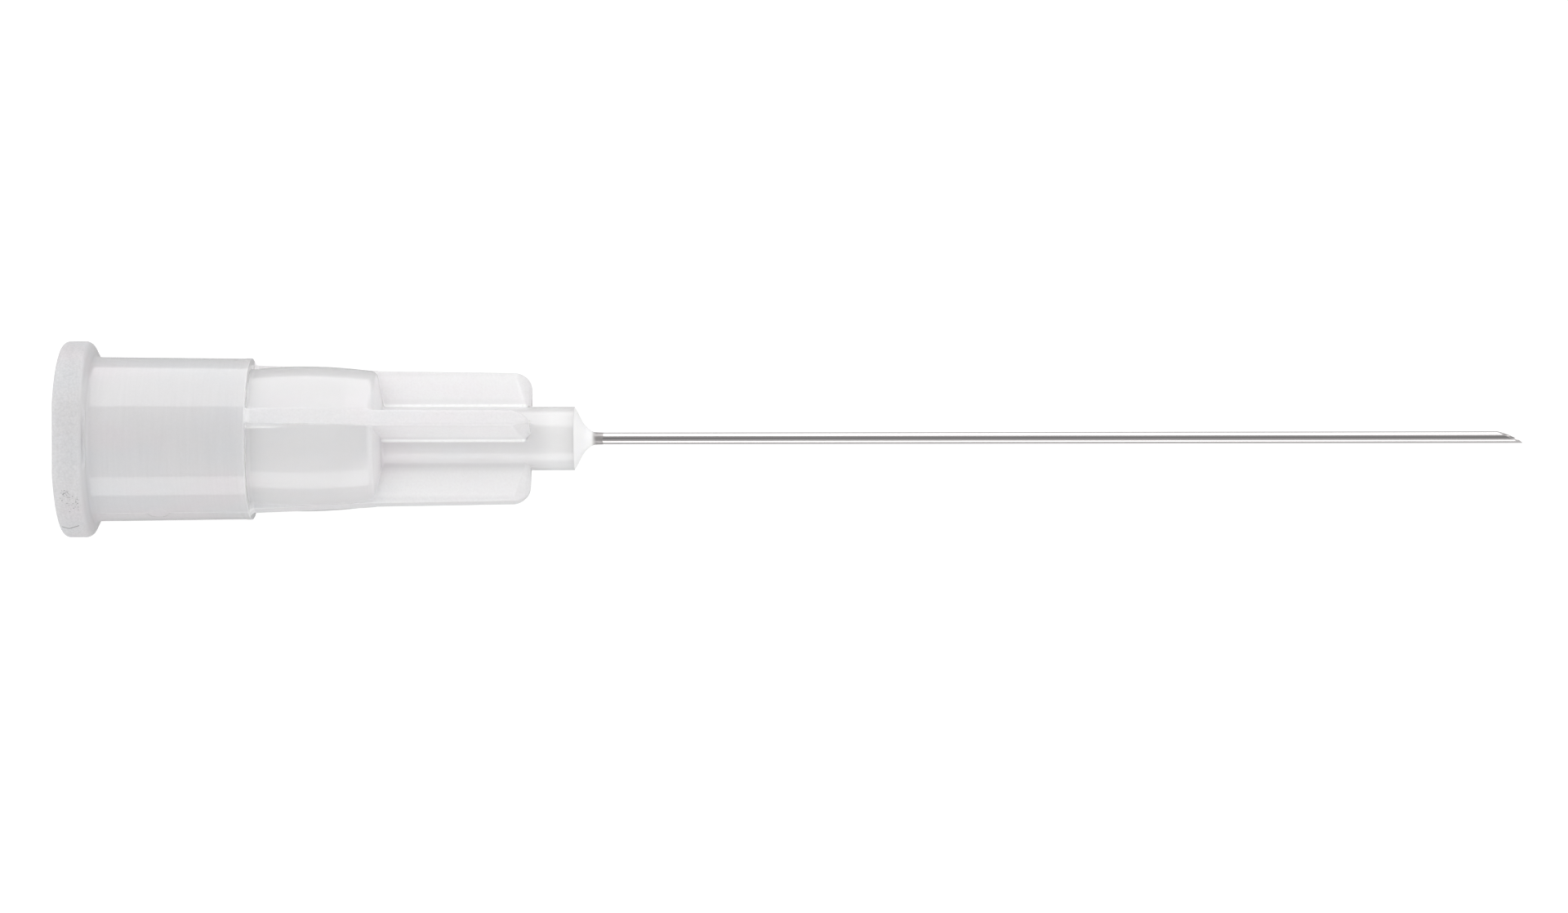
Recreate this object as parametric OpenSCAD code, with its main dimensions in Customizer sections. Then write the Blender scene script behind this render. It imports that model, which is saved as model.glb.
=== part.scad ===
// Hypodermic needle: a moulded hub with a Luer socket and four grip fins, a bevelled steel
// cannula, and the adhesive that bonds the cannula into the hub's nose.
// The needle lies along +X. The origin is the centre of the hub's mouth. +Z is up, and the
// two flats of the lock flange face +Z and -Z. All sizes are in millimetres.

/* [Luer socket] */
// Diameter of the socket at the mouth
socket_mouth_d = 4.29; // [3.9:0.01:4.7]
// Taper of the socket, as the loss of diameter per length, in percent
socket_taper = 6; // [3:0.5:9]
// Lead-in chamfer at the mouth
socket_lead_in = 0.15; // [0.05:0.01:0.3]
// Rounding between the socket's wall and its floor
socket_floor_round = 0.4; // [0.2:0.05:0.7]
// Solid wall between the socket's floor and the shoulder of the body
socket_end_wall = 1.3; // [0.8:0.1:2]

/* [Lock flange] */
// Thickness of the flange at its root
flange_t = 1.3; // [1:0.05:1.7]
// Height of the two lugs above the barrel
lug_h = 0.635; // [0.5:0.01:0.9]
// Height of the two flats above the barrel
flat_h = 0.335; // [0.15:0.01:0.45]
// Rounding of the rim on the mouth's side
rim_round_back = 0.28; // [0.1:0.01:0.4]
// Rounding of the rim on the tip's side
rim_round_front = 0.33; // [0.1:0.01:0.45]
// How far the front of the flange leans back between its root and its rim
flange_lean = 0.1; // [0:0.01:0.2]

/* [Barrel] */
// Diameter of the barrel at the flange
barrel_d = 6.53; // [6:0.01:7.4]
// Length of the barrel, from the flange to the step
barrel_l = 6.27; // [4:0.1:9]
// Draft of the barrel, as the loss of radius over its length
barrel_draft = 0.07; // [0:0.01:0.15]
// Width of the raised ring at the barrel's end
ring_w = 0.4; // [0.2:0.05:0.6]
// Height of the raised ring
ring_h = 0.02; // [0.01:0.01:0.06]
// Chamfer on the barrel's end, along the axis
step_chamfer_l = 0.13; // [0.05:0.01:0.25]
// Chamfer on the barrel's end, across the axis
step_chamfer_r = 0.18; // [0.05:0.01:0.25]

/* [Body] */
// Height of the step from the barrel's end down to the body
step_h = 0.42; // [0.3:0.01:0.55]
// Length of the body, from the step to its shoulder
body_l = 4.89; // [3:0.1:7]
// Loss of radius along the body
body_draft = 0.07; // [0:0.01:0.2]
// Swell of the body at the middle of its length
body_swell = 0.14; // [0:0.01:0.2]
// Rounding of the body's shoulder
shoulder_round = 0.3; // [0.2:0.01:0.6]
// Slope of the body's end face, away from square to the axis, in degrees
shoulder_slope = 13; // [5:1:30]

/* [Nose] */
// Diameter of the nose
nose_d = 2.52; // [2.1:0.01:3]
// Length of the nose, from the body's shoulder to its open end
nose_l = 7.84; // [6:0.1:12]
// Fillet between the body's end face and the nose
nose_fillet = 0.12; // [0.05:0.01:0.2]

/* [Fins] */
// Number of fins round the hub
fin_count = 4; // [3:1:6]
// Turn of the fins from the flange's flats, in degrees
fin_turn = -18; // [-45:1:45]
// Height of the ribs above the body at the step
rib_h = 0.24; // [0.15:0.01:0.4]
// Height of the ribs above the body at its shoulder
rib_end_h = 0.055; // [0.02:0.005:0.25]
// Height of the fins above the nose at their free end
fin_h = 1.41; // [0.9:0.01:1.7]
// Thickness of a fin at its tip, at the free end
fin_tip_w = 0.66; // [0.4:0.01:0.8]
// Draft of each side of a fin, in degrees
fin_draft = 5; // [1:0.5:8]
// Fillet between a fin and the nose
fin_fillet = 0.22; // [0.1:0.01:0.3]
// Length of nose left bare beyond the fins
nose_bare_l = 1.71; // [1:0.01:3]
// Radius of each fin's outer corner
fin_corner = 0.66; // [0.3:0.01:0.8]
// Length of the bevel on each side of a fin's free end, at the nose
fin_bevel_l = 0.22; // [0.1:0.01:0.3]
// Lean of that bevel, which makes it longer at the fin's tip than at the nose, in degrees
fin_bevel_lean = 29; // [20:1:38]
// Angle of that bevel to the side of the fin, in degrees
fin_bevel_angle = 28; // [20:1:35]

/* [Cannula] */
// Outside diameter of the cannula
cannula_d = 0.47; // [0.3:0.01:0.8]
// Wall of the cannula
cannula_wall = 0.105; // [0.07:0.005:0.13]
// Length of the cannula beyond the hub's nose
needle_l = 37.74; // [15:0.1:60]
// Length of the ground point
bevel_l = 1.05; // [0.8:0.01:2.5]
// Height of the first grind above the tip's lower edge
tip_land = 0.066; // [0.03:0.002:0.09]
// Angle of the two lancet facets to the axis, in degrees
lancet_angle = 36; // [25:1:45]
// Turn of each lancet facet round the axis, in degrees
lancet_turn = 30; // [15:1:45]
// Turn of the ground point round the axis, from +Y towards +Z, in degrees
bevel_turn = 15; // [0:5:355]

/* [Bond] */
// Radial gap round the cannula that the adhesive fills
glue_gap = 0.1; // [0.05:0.01:0.15]
// Depth of the open well in the nose
well_depth = 1.85; // [1:0.05:3]
// Wall left between the well and the outside of the nose
well_rim = 0.44; // [0.3:0.01:0.6]
// Height of the adhesive's cone beyond the nose
meniscus_l = 0.83; // [0.5:0.01:1.2]
// Length of the film of adhesive on the cannula, beyond the cone
film_l = 0.32; // [0.15:0.01:0.6]
// Thickness of that film where the cone ends
film_t = 0.014; // [0.008:0.001:0.03]

/* [Flow path] */
// Diameter of the funnel where it leaves the socket's floor
funnel_d = 1.8; // [1.2:0.05:2.2]
// Length of the funnel
funnel_l = 1.5; // [0.8:0.05:2]
// Diameter of the hole between the funnel and the cannula's seat
throat_d = 0.3; // [0.25:0.01:0.36]
// Length of that hole
throat_l = 0.3; // [0.2:0.05:0.6]

/* [Hidden] */
$fn = 96;
overrun = 1;
arc_steps = 6;
swell_steps = 8;
meniscus_steps = 10;
meniscus_power = 1.45;

// Radii
socket_r = socket_mouth_d / 2;
socket_slope = socket_taper / 200;
barrel_r = barrel_d / 2;
barrel_end_r = barrel_r - barrel_draft;
flange_r = barrel_r + lug_h;
flat_r = barrel_r + flat_h;
body_r = barrel_end_r - step_h;
body_end_r = body_r - body_draft;
nose_r = nose_d / 2;
cannula_r = cannula_d / 2;
lumen_r = cannula_r - cannula_wall;
seat_r = cannula_r + glue_gap;
well_r = nose_r - well_rim;
throat_r = throat_d / 2;
funnel_r = funnel_d / 2;

// Places along the axis, from the mouth
step_x = flange_t + barrel_l;
shoulder_x = step_x + body_l;
nose_end_x = shoulder_x + nose_l;
socket_floor_x = shoulder_x - socket_end_wall;
throat_x = socket_floor_x + funnel_l;
seat_x = throat_x + throat_l;
well_x = nose_end_x - well_depth;
cone_end_x = nose_end_x + meniscus_l;
film_end_x = cone_end_x + film_l;
tip_x = nose_end_x + needle_l;
heel_x = tip_x - bevel_l;
fin_end_x = nose_end_x - nose_bare_l;

// Fins: the radius of the tip edge at the step, at the shoulder and at the free end
rib_r = body_r + rib_h;
rib_end_r = body_end_r + rib_end_h;
fin_end_r = nose_r + fin_h;
fin_reach = max(rib_r, rib_end_r, fin_end_r) + overrun;

// Points of an arc from angle a to angle b, in degrees
function arc(centre, radius, a, b, steps = arc_steps) = [
    for (i = [0 : steps])
        let (t = a + (b - a) * i / steps)
            [centre[0] + radius * cos(t), centre[1] + radius * sin(t)]
];

// Half the thickness of a fin at a distance from the axis
function fin_half(radius) = fin_tip_w / 2 + (fin_end_r - radius) * tan(fin_draft);

// Radius of the socket's wall at a depth
function socket_wall(depth) = socket_r - depth * socket_slope;

// Radius of the body along its length, with u from 0 at the step to 1 at the shoulder
function body_wall(u) = body_r + (body_end_r - body_r) * u + body_swell * 4 * u * (1 - u);

// Stands a revolved or extruded shape, built up the Z axis, along +X
module along_x() {
    rotate([0, 90, 0]) children();
}

// Outline of the flange with its rim at a radius, as radius and place along the axis
module flange_outline(rim_r) {
    lean = atan2(flange_lean, flange_r - rim_round_front - barrel_r);
    front_x = flange_t - flange_lean;
    polygon(concat(
        [[0, 0], [rim_r - rim_round_back, 0]],
        arc([rim_r - rim_round_back, rim_round_back], rim_round_back, -90, 0),
        arc([rim_r - rim_round_front, front_x - rim_round_front], rim_round_front, 0, 90 - lean),
        [[barrel_r, flange_t], [0, flange_t]]
    ));
}

// Outline of the hub's outside but for the flange, as radius and place along the axis
module hub_outline() {
    body_run = body_l - shoulder_round;
    // the shoulder's arc starts level with the body's end and turns to the sloping end face
    shoulder_centre = [body_end_r - shoulder_round, shoulder_x - shoulder_round];
    face_top = arc(shoulder_centre, shoulder_round, 0, 90 - shoulder_slope)[arc_steps];
    face_foot = face_top[1] + (face_top[0] - nose_r - nose_fillet) * tan(shoulder_slope);
    polygon(concat(
        [[0, rim_round_back], [barrel_r, rim_round_back], [barrel_r, flange_t]],
        [[barrel_end_r, step_x - ring_w - ring_h]],
        [[barrel_end_r + ring_h, step_x - ring_w]],
        [[barrel_end_r + ring_h, step_x - step_chamfer_l]],
        [[barrel_end_r + ring_h - step_chamfer_r, step_x]],
        [for (i = [0 : swell_steps])
            let (u = i / swell_steps) [body_wall(u), step_x + body_run * u]],
        arc(shoulder_centre, shoulder_round, 0, 90 - shoulder_slope),
        [[nose_r + nose_fillet, face_foot], [nose_r, face_foot + nose_fillet]],
        [[nose_r, nose_end_x], [0, nose_end_x]]
    ));
}

// Outline of everything hollow inside the hub
module hub_hollow_outline() {
    floor_r = socket_wall(socket_floor_x);
    round_centre = [floor_r - socket_floor_round, socket_floor_x - socket_floor_round];
    polygon(concat(
        [[0, -overrun], [socket_r + socket_lead_in + overrun, -overrun]],
        [[socket_wall(socket_lead_in), socket_lead_in]],
        [[socket_wall(round_centre[1]), round_centre[1]]],
        arc(round_centre, socket_floor_round, 0, 90),
        [[funnel_r, socket_floor_x], [throat_r, throat_x], [throat_r, seat_x]],
        [[seat_r, seat_x], [seat_r, well_x]],
        [[well_r, nose_end_x], [well_r, nose_end_x + overrun], [0, nose_end_x + overrun]]
    ));
}

// Side view of one fin and of the rib that it grows from, as radius and place along the axis
module fin_outline() {
    polygon(concat(
        [[0, step_x - step_chamfer_l - ring_w], [rib_r, step_x - step_chamfer_l - ring_w]],
        [[rib_r, step_x], [rib_end_r, shoulder_x]],
        arc([fin_end_r - fin_corner, fin_end_x - fin_corner], fin_corner, 0, 90),
        [[0, fin_end_x]]
    ));
}

// One half of the fillet between the nose and a fin's side, as a section across the axis
module root_fillet() {
    side_normal = [sin(fin_draft), cos(fin_draft)];
    side_distance = fin_half(0) * cos(fin_draft) + fin_fillet;
    centre_distance = nose_r + fin_fillet;
    along = sqrt(centre_distance * centre_distance - side_distance * side_distance);
    centre = side_distance * side_normal + along * [side_normal[1], -side_normal[0]];
    on_nose = centre * nose_r / centre_distance;
    on_side = centre - fin_fillet * side_normal;
    difference() {
        polygon([[0, 0], on_nose, centre, on_side, [on_side[0], 0]]);
        translate(centre) circle(fin_fillet);
    }
}

// Section across one fin, with its draft and its root fillets
module fin_section() {
    polygon([
        [0, fin_half(0)], [fin_reach, fin_half(fin_reach)],
        [fin_reach, -fin_half(fin_reach)], [0, -fin_half(0)]
    ]);
    root_fillet();
    mirror([0, 1]) root_fillet();
}

// What the bevel takes off one side of a fin's free end
module fin_end_bevel() {
    translate([nose_r, fin_half(nose_r), fin_end_x - fin_bevel_l])
        rotate([0, fin_bevel_lean, 0])
            rotate([fin_bevel_angle, 0, 0])
                translate([-overrun * 4, 0, -overrun * 2])
                    cube([overrun * 8, overrun * 2, overrun * 6]);
}

// One fin with its rib, radial along +X and built up the Z axis
module fin() {
    difference() {
        intersection() {
            linear_extrude(fin_end_x) fin_section();
            rotate([90, 0, 0])
                linear_extrude(nose_d + fin_tip_w, center = true) fin_outline();
        }
        fin_end_bevel();
        mirror([0, 1, 0]) fin_end_bevel();
    }
}

// The lock flange: a round rim with two flats, which leave a lug at each side.
// The rim's rounding runs on along the flats.
module flange() {
    intersection() {
        rotate_extrude() flange_outline(flange_r);
        rotate([90, 0, 0]) linear_extrude(2 * (flange_r + overrun), center = true) {
            flange_outline(flat_r);
            mirror([1, 0]) flange_outline(flat_r);
        }
    }
}

// The moulded hub: socket, lock flange, barrel, body, fins and nose, all one piece
module hub() {
    color([0.86, 0.87, 0.88, 0.7]) along_x() difference() {
        union() {
            rotate_extrude() hub_outline();
            flange();
            for (i = [0 : fin_count - 1])
                rotate([0, 0, fin_turn + i * 360 / fin_count]) fin();
        }
        rotate_extrude() hub_hollow_outline();
    }
}

// Everything on the open side of a ground face through a point of the cannula.
// The face leans by `angle` from the axis, and looks out at `turn` round it.
module ground_off(point, angle, turn) {
    reach = 4 * bevel_l + cannula_d;
    translate(point)
        rotate([0, 0, turn])
            rotate([0, -angle, 0])
                translate([0, -reach, -reach]) cube([reach, 2 * reach, 2 * reach]);
}

// The steel tube, seated in the hub and ground to a lancet point
module cannula() {
    bevel_angle = atan2(cannula_d - tip_land, bevel_l);
    face_turn = 90 + bevel_turn;
    tip_point = [cannula_r * cos(face_turn + 180), cannula_r * sin(face_turn + 180), tip_x];
    heel_point = [cannula_r * cos(face_turn), cannula_r * sin(face_turn), heel_x];
    color([0.78, 0.78, 0.8]) along_x() difference() {
        translate([0, 0, seat_x]) cylinder(r = cannula_r, h = tip_x - seat_x);
        translate([0, 0, seat_x - overrun])
            cylinder(r = lumen_r, h = tip_x - seat_x + 2 * overrun);
        ground_off(heel_point, bevel_angle, face_turn);
        for (side = [-1, 1])
            ground_off(tip_point, lancet_angle, face_turn + side * lancet_turn);
    }
}

// The adhesive: a sleeve in the seat, the filled well, a cone beyond the nose and a thin film
module adhesive_bond() {
    film_r = cannula_r + film_t;
    cone = [
        for (i = [0 : meniscus_steps])
            let (u = i / meniscus_steps)
                [film_r + (nose_r - film_r) * pow(1 - u, meniscus_power), nose_end_x + meniscus_l * u]
    ];
    color([0.96, 0.96, 0.97]) along_x() rotate_extrude() polygon(concat(
        [[cannula_r, seat_x], [seat_r, seat_x], [seat_r, well_x], [well_r, nose_end_x]],
        cone,
        [[cannula_r + film_t / 3, film_end_x], [cannula_r, film_end_x]]
    ));
}

hub();
cannula();
adhesive_bond();
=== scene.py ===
"""Looks of a hypodermic needle that lies on its side: hub, cannula and adhesive bond.

The needle lies along +X with the centre of the hub's mouth at the origin, and +Z points at the
camera. Sizes are in millimetres until a mesh is made, and in metres in Blender.
"""

import logging
import math
from dataclasses import dataclass, field
from enum import Enum
from typing import Iterable, Sequence

import bmesh
import bpy
import numpy as np
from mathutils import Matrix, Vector


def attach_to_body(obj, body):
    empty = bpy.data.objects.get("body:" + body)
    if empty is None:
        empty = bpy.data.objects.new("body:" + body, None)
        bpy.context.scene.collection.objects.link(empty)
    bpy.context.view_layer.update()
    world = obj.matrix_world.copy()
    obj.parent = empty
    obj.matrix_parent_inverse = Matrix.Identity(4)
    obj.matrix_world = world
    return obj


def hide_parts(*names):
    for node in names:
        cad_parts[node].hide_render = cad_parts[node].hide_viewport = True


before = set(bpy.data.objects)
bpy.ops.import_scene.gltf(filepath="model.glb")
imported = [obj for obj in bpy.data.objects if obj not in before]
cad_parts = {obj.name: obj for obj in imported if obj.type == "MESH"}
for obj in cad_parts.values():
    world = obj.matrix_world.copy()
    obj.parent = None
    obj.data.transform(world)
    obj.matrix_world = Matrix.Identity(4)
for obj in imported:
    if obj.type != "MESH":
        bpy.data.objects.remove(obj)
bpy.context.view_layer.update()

LOG = logging.getLogger("needle")
MM = 0.001
MERGE = 1e-7
BODY = "root"

Ring = np.ndarray
Socket = bpy.types.NodeSocket
Node = bpy.types.Node


class Slot(Enum):
    """The record's material slots."""

    HUB = "hub_plastic"
    STEEL = "cannula_steel"
    ADHESIVE = "bond_adhesive"


# Meshes


def arc(centre: tuple[float, float], radius: float, start: float, end: float, steps: int) -> list:
    """Points of an arc.

    Args:
        centre: The arc's centre.
        radius: Its radius.
        start: First angle, in degrees.
        end: Last angle, in degrees.
        steps: How many parts the arc has.

    Returns:
        steps + 1 points as (a, b) pairs.
    """
    angles = np.radians(np.linspace(start, end, steps + 1))
    return [(centre[0] + radius * math.cos(t), centre[1] + radius * math.sin(t)) for t in angles]


def smoothstep(value: np.ndarray, low: float, high: float) -> np.ndarray:
    """Rises smoothly from 0 at low to 1 at high."""
    t = np.clip((value - low) / (high - low), 0, 1)
    return t * t * (3 - 2 * t)


def mesh_from_rings(name: str, rings: Sequence[Ring], closed: bool) -> bpy.types.Mesh:
    """Makes a skin through rings of points.

    Args:
        name: Name of the mesh.
        rings: Rings of equally many (x, y, z) points, in millimetres.
        closed: Whether each ring's last point joins its first.

    Returns:
        The mesh, in metres.
    """
    points = np.concatenate(rings) * MM
    count = len(rings[0])
    faces = []
    for row in range(len(rings) - 1):
        here, there = row * count, (row + 1) * count
        for i in range(count if closed else count - 1):
            j = (i + 1) % count
            faces.append((here + i, here + j, there + j, there + i))
    mesh = bpy.data.meshes.new(name)
    mesh.from_pydata([tuple(p) for p in points], [], faces)
    mesh.update()
    return mesh


def ring_at(x: object, radius: object, angles: np.ndarray) -> Ring:
    """Points at each angle round the axis, where x and radius are numbers or one for each angle."""
    x = np.broadcast_to(np.asarray(x, float), angles.shape)
    radius = np.broadcast_to(np.asarray(radius, float), angles.shape)
    return np.stack([x, radius * np.cos(angles), radius * np.sin(angles)], axis=1)


def tidy_mesh(mesh: bpy.types.Mesh, sharp_angle: float) -> None:
    """Merges doubles, drops faces without area, turns normals outwards and shades the mesh smooth.

    Args:
        mesh: The mesh to tidy.
        sharp_angle: Angle past which an edge stays sharp, in degrees.
    """
    work = bmesh.new()
    work.from_mesh(mesh)
    bmesh.ops.remove_doubles(work, verts=work.verts, dist=MERGE)
    bmesh.ops.dissolve_degenerate(work, edges=work.edges, dist=MERGE)
    bmesh.ops.recalc_face_normals(work, faces=work.faces)
    for face in work.faces:
        face.smooth = True
    work.to_mesh(mesh)
    work.free()
    mesh.set_sharp_from_angle(angle=math.radians(sharp_angle))


def new_object(name: str, mesh: bpy.types.Mesh) -> bpy.types.Object:
    """Links a new object with that mesh at the origin."""
    made = bpy.data.objects.new(name, mesh)
    bpy.context.scene.collection.objects.link(made)
    return made


# Node trees


# Places of the factor and the two values among a Mix node's sockets
MIX_VALUE_INPUTS = (0, 2, 3)
MIX_COLOUR_INPUTS = (0, 6, 7)

VALUE, COLOUR, VECTOR = "NodeSocketFloat", "NodeSocketColor", "NodeSocketVector"
COUNT, SHAPE = "NodeSocketInt", "NodeSocketGeometry"
OBJECT, MATERIAL = "NodeSocketObject", "NodeSocketMaterial"


class TreeBuilder:
    """Adds nodes to one node tree and links them."""

    def __init__(self, tree: bpy.types.NodeTree) -> None:
        """Keeps the tree."""
        self.tree = tree

    def add(self, kind: str, **settings: object) -> Node:
        """Adds a node.

        Args:
            kind: The node's type.
            settings: Properties to set on it.

        Returns:
            The node.
        """
        node = self.tree.nodes.new(kind)
        for key, value in settings.items():
            setattr(node, key, value)
        return node

    def feed(self, target: Socket, value: object) -> None:
        """Links a socket to target, or sets target's own value."""
        if isinstance(value, bpy.types.NodeSocket):
            self.tree.links.new(value, target)
        else:
            target.default_value = value

    def fill(self, node: Node, values: dict) -> Node:
        """Links or sets the inputs of a node by their names, and returns the node."""
        for name, value in values.items():
            self.feed(node.inputs[name], value)
        return node

    def group(self, tree: bpy.types.NodeTree, values: dict) -> Node:
        """Places a shader node group with its values."""
        return self.fill(self.add("ShaderNodeGroup", node_tree=tree), values)

    def math(self, operation: str, *values: object, clamp: bool = False) -> Socket:
        """A Math node's result.

        Args:
            operation: The operation.
            values: Up to three numbers or sockets.
            clamp: Whether the result is kept between 0 and 1.

        Returns:
            The output socket.
        """
        node = self.add("ShaderNodeMath", operation=operation, use_clamp=clamp)
        for target, value in zip(node.inputs, values):
            self.feed(target, value)
        return node.outputs[0]

    def plus(self, first: object, second: object) -> Socket:
        """The sum of two values."""
        return self.math("ADD", first, second)

    def minus(self, first: object, second: object) -> Socket:
        """The first value less the second."""
        return self.math("SUBTRACT", first, second)

    def times(self, first: object, second: object) -> Socket:
        """The product of two values."""
        return self.math("MULTIPLY", first, second)

    def times_plus(self, first: object, second: object, third: object) -> Socket:
        """The product of two values, plus a third."""
        return self.math("MULTIPLY_ADD", first, second, third)

    def length(self, first: Socket, second: Socket) -> Socket:
        """The length of two parts at right angles."""
        return self.math("SQRT", self.times_plus(first, first, self.times(second, second)))

    def ramp(self, value: Socket, low: float, high: float, start: float = 0.0, end: float = 1.0) -> Socket:
        """A smooth step of value from start at low to end at high."""
        node = self.add("ShaderNodeMapRange", interpolation_type="SMOOTHSTEP", clamp=True)
        for target, given in zip(node.inputs, (value, low, high, start, end)):
            self.feed(target, given)
        return node.outputs[0]

    def mix_value(self, factor: object, first: object, second: object) -> Socket:
        """Mixes two numbers by a factor."""
        node = self.add("ShaderNodeMix", data_type="FLOAT")
        for place, value in zip(MIX_VALUE_INPUTS, (factor, first, second)):
            self.feed(node.inputs[place], value)
        return node.outputs[0]

    def mix_colour(self, factor: object, first: object, second: object) -> Socket:
        """Mixes two colours by a factor."""
        node = self.add("ShaderNodeMix", data_type="RGBA")
        for place, value in zip(MIX_COLOUR_INPUTS, (factor, first, second)):
            self.feed(node.inputs[place], value)
        return node.outputs[2]

    def xyz(self, vector: Socket) -> tuple[Socket, Socket, Socket]:
        """The three parts of a vector."""
        node = self.add("ShaderNodeSeparateXYZ")
        self.feed(node.inputs[0], vector)
        return node.outputs[0], node.outputs[1], node.outputs[2]

    def scaled(self, vector: Socket, scale: Sequence[float]) -> Socket:
        """A vector scaled along each axis."""
        return self.fill(self.add("ShaderNodeMapping"), {"Vector": vector, "Scale": scale}).outputs[0]

    def noise(self, vector: Socket, scale: object, detail: float) -> Socket:
        """A noise value from 0 to 1."""
        node = self.add("ShaderNodeTexNoise")
        return self.fill(node, {"Vector": vector, "Scale": scale, "Detail": detail}).outputs["Fac"]

    def bump(self, height: Socket, strength: object, distance: float) -> Socket:
        """The normal of a surface with that relief."""
        node = self.add("ShaderNodeBump")
        values = {"Height": height, "Strength": strength, "Distance": distance}
        return self.fill(node, values).outputs["Normal"]

    def surface(self, shader: Node, output: str = "ShaderNodeOutputMaterial") -> None:
        """Leads a shader to the tree's output."""
        self.feed(self.add(output).inputs["Surface"], shader.outputs[0])


def node_group(name: str, kind: str, inputs: Iterable[tuple], outputs: Iterable[tuple]) -> tuple:
    """A new node group.

    Args:
        name: Name of the group.
        kind: The type of its tree.
        inputs: (name, socket type) of each input, and a default where it has one.
        outputs: (name, socket type) of each output.

    Returns:
        The group, its builder, its input node and its output node.
    """
    group = bpy.data.node_groups.new(name, kind)
    for label, socket, *default in inputs:
        made = group.interface.new_socket(name=label, in_out="INPUT", socket_type=socket)
        if default:
            made.default_value = default[0]
    for label, socket in outputs:
        group.interface.new_socket(name=label, in_out="OUTPUT", socket_type=socket)
    build = TreeBuilder(group)
    return group, build, build.add("NodeGroupInput"), build.add("NodeGroupOutput")


def new_material(name: str) -> tuple[bpy.types.Material, TreeBuilder, Socket]:
    """A new material with an empty tree.

    Args:
        name: Its name.

    Returns:
        The material, the builder of its tree and the object's coordinates.
    """
    made = bpy.data.materials.new(name)
    made.use_nodes = True
    made.node_tree.nodes.clear()
    build = TreeBuilder(made.node_tree)
    return made, build, build.add("ShaderNodeTexCoord").outputs["Object"]


# Finishes


def mottle_group() -> bpy.types.NodeTree:
    """A group that clouds one colour softly into two others, as in natural moulded plastic."""
    group, build, given, out = node_group(
        "cloudy_colour",
        "ShaderNodeTree",
        [("Vector", VECTOR), ("Scale", VALUE, 300.0), ("Base", COLOUR),
         ("Warm", COLOUR), ("Cool", COLOUR), ("Amount", VALUE, 0.5)],
        [("Colour", COLOUR)],
    )
    scale, amount = given.outputs["Scale"], given.outputs["Amount"]
    far = build.add("ShaderNodeVectorMath", operation="ADD")
    build.feed(far.inputs[0], given.outputs["Vector"])
    far.inputs[1].default_value = (0.31, 0.17, 0.23)
    colour = given.outputs["Base"]
    for place, name in ((given.outputs["Vector"], "Warm"), (far.outputs[0], "Cool")):
        share = build.times(build.ramp(build.noise(place, scale, 3.0), 0.45, 0.65), amount)
        colour = build.mix_colour(share, colour, given.outputs[name])
    build.feed(out.inputs["Colour"], colour)
    return group


def grain_group() -> bpy.types.NodeTree:
    """A group with the fine relief of a surface: round grain, and streaks along one axis."""
    group, build, given, out = node_group(
        "surface_grain",
        "ShaderNodeTree",
        [("Vector", VECTOR), ("Grain Scale", VALUE, 9000.0), ("Streak Vector", VECTOR),
         ("Streak Scale", VALUE, 1000.0), ("Streak Share", VALUE, 0.5)],
        [("Height", VALUE), ("Roughness Shift", VALUE)],
    )
    grain = build.noise(given.outputs["Vector"], given.outputs["Grain Scale"], 3.0)
    streak = build.noise(given.outputs["Streak Vector"], given.outputs["Streak Scale"], 4.0)
    share = given.outputs["Streak Share"]
    height = build.plus(build.times(streak, share), build.times(grain, build.minus(1.0, share)))
    build.feed(out.inputs["Height"], height)
    build.feed(out.inputs["Roughness Shift"], build.minus(height, 0.5))
    return group


@dataclass(frozen=True)
class MouldFinish:
    """Finish of one part of the hub.

    Attributes:
        shade: Brightness of the plastic, as a factor on its colour.
        clear: Share of light that goes through.
        roughness: Roughness of the surface.
        coat: How much of the sharper top layer shows.
        streaks: Share of the relief that runs round the axis.
        relief: Strength of the relief.
    """

    shade: float
    clear: float
    roughness: float
    coat: float
    streaks: float
    relief: float


@dataclass(frozen=True)
class SkinPoint:
    """Where a point of the hub's skin lies, as outputs in the material's tree, in metres.

    Attributes:
        place: The point itself.
        along: How far it lies along the needle.
        across: How far it lies across the needle, level.
        up: Its height above the axis.
        radius: Its distance from the axis.
        out: Its distance out along the nearest fin.
        side: Its distance across that fin.
    """

    place: Socket
    along: Socket
    across: Socket
    up: Socket
    radius: Socket
    out: Socket
    side: Socket


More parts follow.
